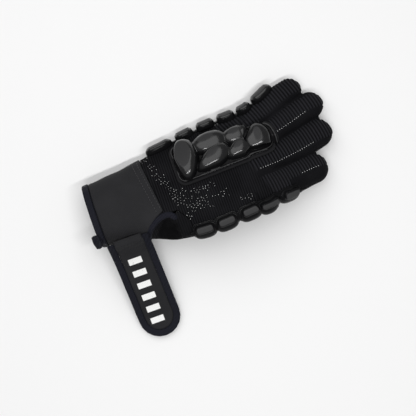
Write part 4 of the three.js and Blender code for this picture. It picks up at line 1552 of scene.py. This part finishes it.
class GLOVE_OT_edge_guards(bpy.types.Operator):
    """Glossy guards with blocks along both edges of the hand"""
    bl_idname = "glove.edge_guards"
    bl_label = "Edge Guards"

    def execute(self, context):
        ulnar = edge_sheet("little", 0.0, 1.0, ULNAR_BLOCKS[0][0], ULNAR_BLOCKS[-1][1])
        edge_guard("little_finger_moulding", "ulnar_guard", ulnar, ULNAR_BLOCKS, 4.8,
                   (1.0, 6.0, 4.0, 0, None), (14.0, 6.0, 3.0, 0.82, 2.7, 3.0))
        radial = edge_sheet("index", math.pi, -1.0, RADIAL_BLOCKS[0][0], RADIAL_BLOCKS[-1][1])
        edge_guard("index_finger_moulding", "radial_guard", radial, RADIAL_BLOCKS, 6.6,
                   (2.8, 7.8, 5.0, 1.0, (5.6, 5.0, 16.0)), (7.0, 9.2, 0.4, 3.0, 0, 9.0),
                   (RADIAL_BLOCKS[0][0] - 4.0, RADIAL_BLOCKS[-1][1] + 4.0))
        return {"FINISHED"}


# Stitches, dots and print

def surface_of(*pieces):
    points = []
    faces = []
    for piece in pieces:
        start = len(points)
        points.extend(vertex.co[:] for vertex in piece.data.vertices)
        faces.extend([start + i for i in face.vertices] for face in piece.data.polygons)
    return BVHTree.FromPolygons(points, faces)


def drop(surface, plan):
    """Places and directions where plan places meet a surface from above."""
    places = []
    outward = []
    for x, y in plan:
        start = Vector(((x - REST_POINT[0]) * MM, (y - REST_POINT[1]) * MM, 0.2))
        place, normal, _, _ = surface.ray_cast(start, Vector((0, 0, -1)))
        if place is not None:
            places.append(place[:])
            outward.append(normal[:] if normal.z > 0 else (-normal)[:])
    return np.array(places), np.array(outward)


def plan_line(corners, step=1.0):
    corners = np.array(corners, float)
    run = run_length(corners)
    at = np.linspace(0, run[-1], max(3, int(run[-1] / step) + 1))
    return values_at(at, run, corners)


def stitch_line(surface, corners, pitch, size, cross=0.0):
    """Places and axes of stitches along a plan line; cross turns every second one."""
    places, outward = drop(surface, plan_line(corners))
    for _ in range(3):
        outward[1:-1] = unit(outward[:-2] + outward[1:-1] * 2 + outward[2:])
    spots, axes = stitch_places(places, outward, pitch)
    spots = spots + axes[:, 2] * (size[2] * 0.6)
    if cross:
        swing = np.where(np.arange(len(spots)) % 2 == 0, cross, -cross)[:, None]
        along = axes[:, 0] * np.cos(swing) + axes[:, 1] * np.sin(swing)
        axes = np.stack([along, np.cross(axes[:, 2], along), axes[:, 2]], 1)
    return spots, axes


def stitch_piece(name, lines, size, look, slot):
    places = np.concatenate([line[0] for line in lines])
    axes = np.concatenate([line[1] for line in lines])
    piece = sprinkle(name, small_form(size), places, axes)
    return finish_piece(piece, slot, look=look)


def finger_seam(sleeve, start, end):
    """Plan line of the seam between a finger's ribbed top and its plain strip."""
    x = np.arange(start, end, 2.0)
    return np.stack([x, seam_place(sleeve, x) + 1.1], -1)


# Seams with pale dots: the finger, and where the dots start and end along it.
DOTTED_SEAMS = (("ring", 161.0, 196.0), ("middle", 134.0, 194.0), ("index", 170.0, 192.0))
DOT_SIZE = (0.00032, 0.00032, 0.00018)
SEAM_DOT_PITCH = 0.0026
DOT_PITCH = 2.7
# Rows of dots beside a stretched row: distance, and share of the places that show.
DOT_ROWS = ((0.0, 0.8), (2.2, 0.4), (-2.2, 0.3), (4.4, 0.08))
# Rows of pale dots where the mesh of the back is stretched, in plan.
MESH_ROWS = (
    ((37.1, 29.7), (37.7, 24.4), (40.5, 14.6), (44.1, 7.0), (49.9, -1.4), (55.6, -6.7),
     (67.8, -11.6), (80.9, -13.7), (89.5, -14.3)),
    ((41.7, 17.9), (45.2, 8.2), (50.2, -6.8), (55.7, -13.6), (62.0, -17.1), (77.3, -21.8),
     (88.5, -23.0), (98.1, -24.4)),
    ((53.7, -36.8), (57.4, -33.6), (62.9, -28.7), (67.6, -24.1), (77.7, -21.7)),
    ((46.5, -8.0), (52.0, -17.0), (60.0, -22.5), (70.0, -27.0), (84.0, -29.5)),
    ((108.7, -34.5), (118.7, -34.8)),
    ((32.5, 31.0), (38.6, 30.4)),
)
# Dotted lines on the little finger's side, and the wrist band's hem, in plan.
ULNAR_ROWS = (((106.0, 40.5), (114.0, 41.5), (122.0, 42.0)), ((138.5, 43.5), (144.4, 45.5)))
HEM_EDGE = ((30.0, 27.0), (37.5, -20.0))
FLANGE_SEAM = ((84.0, -1.7), (116.0, -0.2), (148.0, 1.4))
# Middle of the first fit mark on the strap, in plan.
FIRST_MARK = (-3.0, -54.5)


class GLOVE_OT_stitches(bpy.types.Operator):
    """Seams, hem stitches, pale mesh dots and the plain marks on the strap"""
    bl_idname = "glove.stitches"
    bl_label = "Stitches and Marks"

    def execute(self, context):
        strap = context.scene.glove_strap
        draw = np.random.default_rng(7)
        back = surface_of(bpy.data.objects["back_fabric"])
        cuff = surface_of(bpy.data.objects["wrist_band"])
        lines = [mesh_dots(back, draw)]
        for row in (*ULNAR_ROWS, *[finger_seam(*seam) for seam in DOTTED_SEAMS]):
            lines.append(stitch_line(back, row, SEAM_DOT_PITCH, DOT_SIZE))
        stitch_piece("mesh_dots", lines, DOT_SIZE, "white_print", "ribbed_fabric")

        size = (0.0013, 0.00042, 0.00030)
        seams = []
        for offset in (1.7, 6.3):
            (x0, y0), (x1, y1) = HEM_EDGE
            seams.append(stitch_line(cuff, ((x0 - offset, y0 + 4), (x0 - offset, y0),
                                            (x1 - offset, y1 + 1.5)), 0.0030, size))
        stitch_piece("hem_stitches", seams, size, "stitch_thread", "plain_fabric")

        flange = surface_of(bpy.data.objects["knuckle_moulding"])
        size = (0.0012, 0.00036, 0.0003)
        zigzag = stitch_line(flange, FLANGE_SEAM, 0.0017, size, cross=0.9)
        stitch_piece("flange_stitches", [zigzag], size, "stitch_thread", "guard_moulding")

        cloth = surface_of(bpy.data.objects["strap_fabric"])
        marks = []
        for number in range(strap.mark_count):
            place = (FIRST_MARK[0], FIRST_MARK[1] - number * strap.mark_pitch / MM)
            size = (strap.mark_length / MM, strap.mark_width / MM)
            marks.append(plain_mark(cloth, place, size))
        if marks:
            piece = merge(marks, "strap_marks")
            finish_piece(piece, "plain_fabric", look="white_print", smooth_angle=40)
        return {"FINISHED"}


def mesh_dots(surface, draw):
    """Pale dots of the mesh in arcs, thick along the stretched rows, thinner beside them."""
    plan = []
    for row in MESH_ROWS:
        line = plan_line(row, DOT_PITCH)
        ahead, left = line_axes(line)
        for place, share in DOT_ROWS:
            shifted = line + left * place + ahead * (DOT_PITCH / 2 * (place % 2 > 0.5))
            plan.append(shifted[draw.random(len(line)) < share])
    plan = np.concatenate(plan)
    plan = plan + draw.normal(size=plan.shape) * 0.15
    apart = []
    for place in plan:
        if not apart or np.hypot(*(np.array(apart) - place).T).min() > 1.9:
            apart.append(place)
    places, outward = drop(surface, apart)
    size = draw.uniform(0.5, 1.05, len(places))
    along = unit(np.cross(outward, np.array([0.0, 1.0, 0.0])))
    across = np.cross(outward, along)
    axes = np.stack([along, across, outward], 1) * size[:, None, None]
    return places + outward * 0.00004, axes


def plain_mark(surface, place, size):
    """A thin printed bar that follows the strap."""
    clear_selection()
    bpy.ops.mesh.primitive_grid_add(x_subdivisions=12, y_subdivisions=6, size=1)
    piece = bpy.context.object
    points = coordinates(piece)
    plan = points[:, :2] * np.array(size) + np.array(place)
    places, outward = drop(surface, plan)
    move_points(piece, places + outward * 0.00012)
    apply_modifier(piece, "SOLIDIFY", thickness=0.0003, offset=1.0)
    return piece


# Stage

VIEW_MIDDLE = Vector((0.001168, -0.052787, 0.022))
SENSOR_WIDTH = 36.0
WORLD_LIGHT = 0.27


class GLOVE_OT_stage(bpy.types.Operator):
    """Pale surface, soft studio light and the camera over the glove"""
    bl_idname = "glove.stage"
    bl_label = "Stage"

    def execute(self, context):
        stage = context.scene.glove_stage
        clear_selection()
        bpy.ops.mesh.primitive_plane_add(size=4.0, location=(0, 0, -0.0005))
        floor = context.object
        floor.name = "surface"
        material, w, shader = start_material("pale_surface")
        grey = w.noise(w.place(), 3.0, 2.0)
        share = w.math("MULTIPLY", grey, 0.06)
        base = w.mix(share, shade(stage.floor, 1.0), shade(stage.floor, 0.9))
        w.join(base, shader.inputs["Base Color"])
        shader.inputs["Roughness"].default_value = 0.9
        floor.data.materials.append(material)

        right = Vector((math.cos(stage.turn), -math.sin(stage.turn), 0))
        ahead = Vector((math.sin(stage.turn), math.cos(stage.turn), 0))
        distance = stage.lens / SENSOR_WIDTH * stage.view_width
        back = -ahead * math.cos(stage.elevation) + Vector((0, 0, math.sin(stage.elevation)))
        place = VIEW_MIDDLE + back * distance
        rise = back.cross(right)
        turned = Matrix((right, rise, back)).transposed().to_4x4()
        camera_data = bpy.data.cameras.new("camera")
        camera_data.lens = stage.lens
        camera_data.sensor_width = SENSOR_WIDTH
        camera = bpy.data.objects.new("camera", camera_data)
        camera.matrix_world = Matrix.Translation(place) @ turned
        context.scene.collection.objects.link(camera)
        context.scene.camera = camera

        def light(name, at, size, power, size_y=None):
            lamp_data = bpy.data.lights.new(name, "AREA")
            lamp_data.energy = power
            lamp_data.shape = "RECTANGLE"
            lamp_data.size = size
            lamp_data.size_y = size_y or size
            lamp = bpy.data.objects.new(name, lamp_data)
            away = right * at[0] + ahead * at[1] + Vector((0, 0, at[2]))
            turned = away.to_track_quat("Z", "Y").to_matrix().to_4x4()
            lamp.matrix_world = Matrix.Translation(VIEW_MIDDLE + away) @ turned
            context.scene.collection.objects.link(lamp)

        light("soft_box_top", (-0.30, 0.62, 1.25), 1.8, 16.8)
        light("strip_right", (0.17, -0.32, 1.25), 1.0, 9.0, 0.045)
        world = context.scene.world or bpy.data.worlds.new("studio")
        context.scene.world = world
        world.use_nodes = True
        background = world.node_tree.nodes["Background"]
        background.inputs["Color"].default_value = (1, 1, 1, 1)
        background.inputs["Strength"].default_value = WORLD_LIGHT
        context.scene.view_settings.view_transform = "Standard"
        clear_selection()
        return {"FINISHED"}


class GLOVE_PT_panel(bpy.types.Panel):
    """Lists the glove's pieces in the order they are made"""
    bl_idname = "GLOVE_PT_panel"
    bl_label = "Field Hockey Glove"
    bl_space_type = "VIEW_3D"
    bl_region_type = "UI"
    bl_category = "Glove"

    def draw(self, context):
        for operator in OPERATORS:
            self.layout.operator(operator.bl_idname)
        for group in (getattr(context.scene, name) for name in SETTING_GROUPS):
            box = self.layout.box()
            for name in group.bl_rna.properties.keys():
                if name not in {"rna_type", "name"}:
                    box.prop(group, name)


SETTING_GROUPS = {
    "glove_fabric": GloveFabric,
    "glove_guards": GloveGuards,
    "glove_strap": GloveStrap,
    "glove_stage": GloveStage,
}
OPERATORS = (
    GLOVE_OT_stage,
    GLOVE_OT_back,
    GLOVE_OT_palm,
    GLOVE_OT_sides,
    GLOVE_OT_cuff,
    GLOVE_OT_strap,
    GLOVE_OT_knuckle_guard,
    GLOVE_OT_edge_guards,
    GLOVE_OT_stitches,
)


def register():
    for name, group in SETTING_GROUPS.items():
        bpy.utils.register_class(group)
        setattr(bpy.types.Scene, name, PointerProperty(type=group))
    for operator in OPERATORS:
        bpy.utils.register_class(operator)
    bpy.utils.register_class(GLOVE_PT_panel)


def unregister():
    bpy.utils.unregister_class(GLOVE_PT_panel)
    for operator in reversed(OPERATORS):
        bpy.utils.unregister_class(operator)
    for name, group in reversed(SETTING_GROUPS.items()):
        delattr(bpy.types.Scene, name)
        bpy.utils.unregister_class(group)


def main():
    register()
    for operator in OPERATORS:
        section, call = operator.bl_idname.split(".")
        getattr(getattr(bpy.ops, section), call)()
    bpy.context.view_layer.update()


if __name__ == "__main__":
    main()
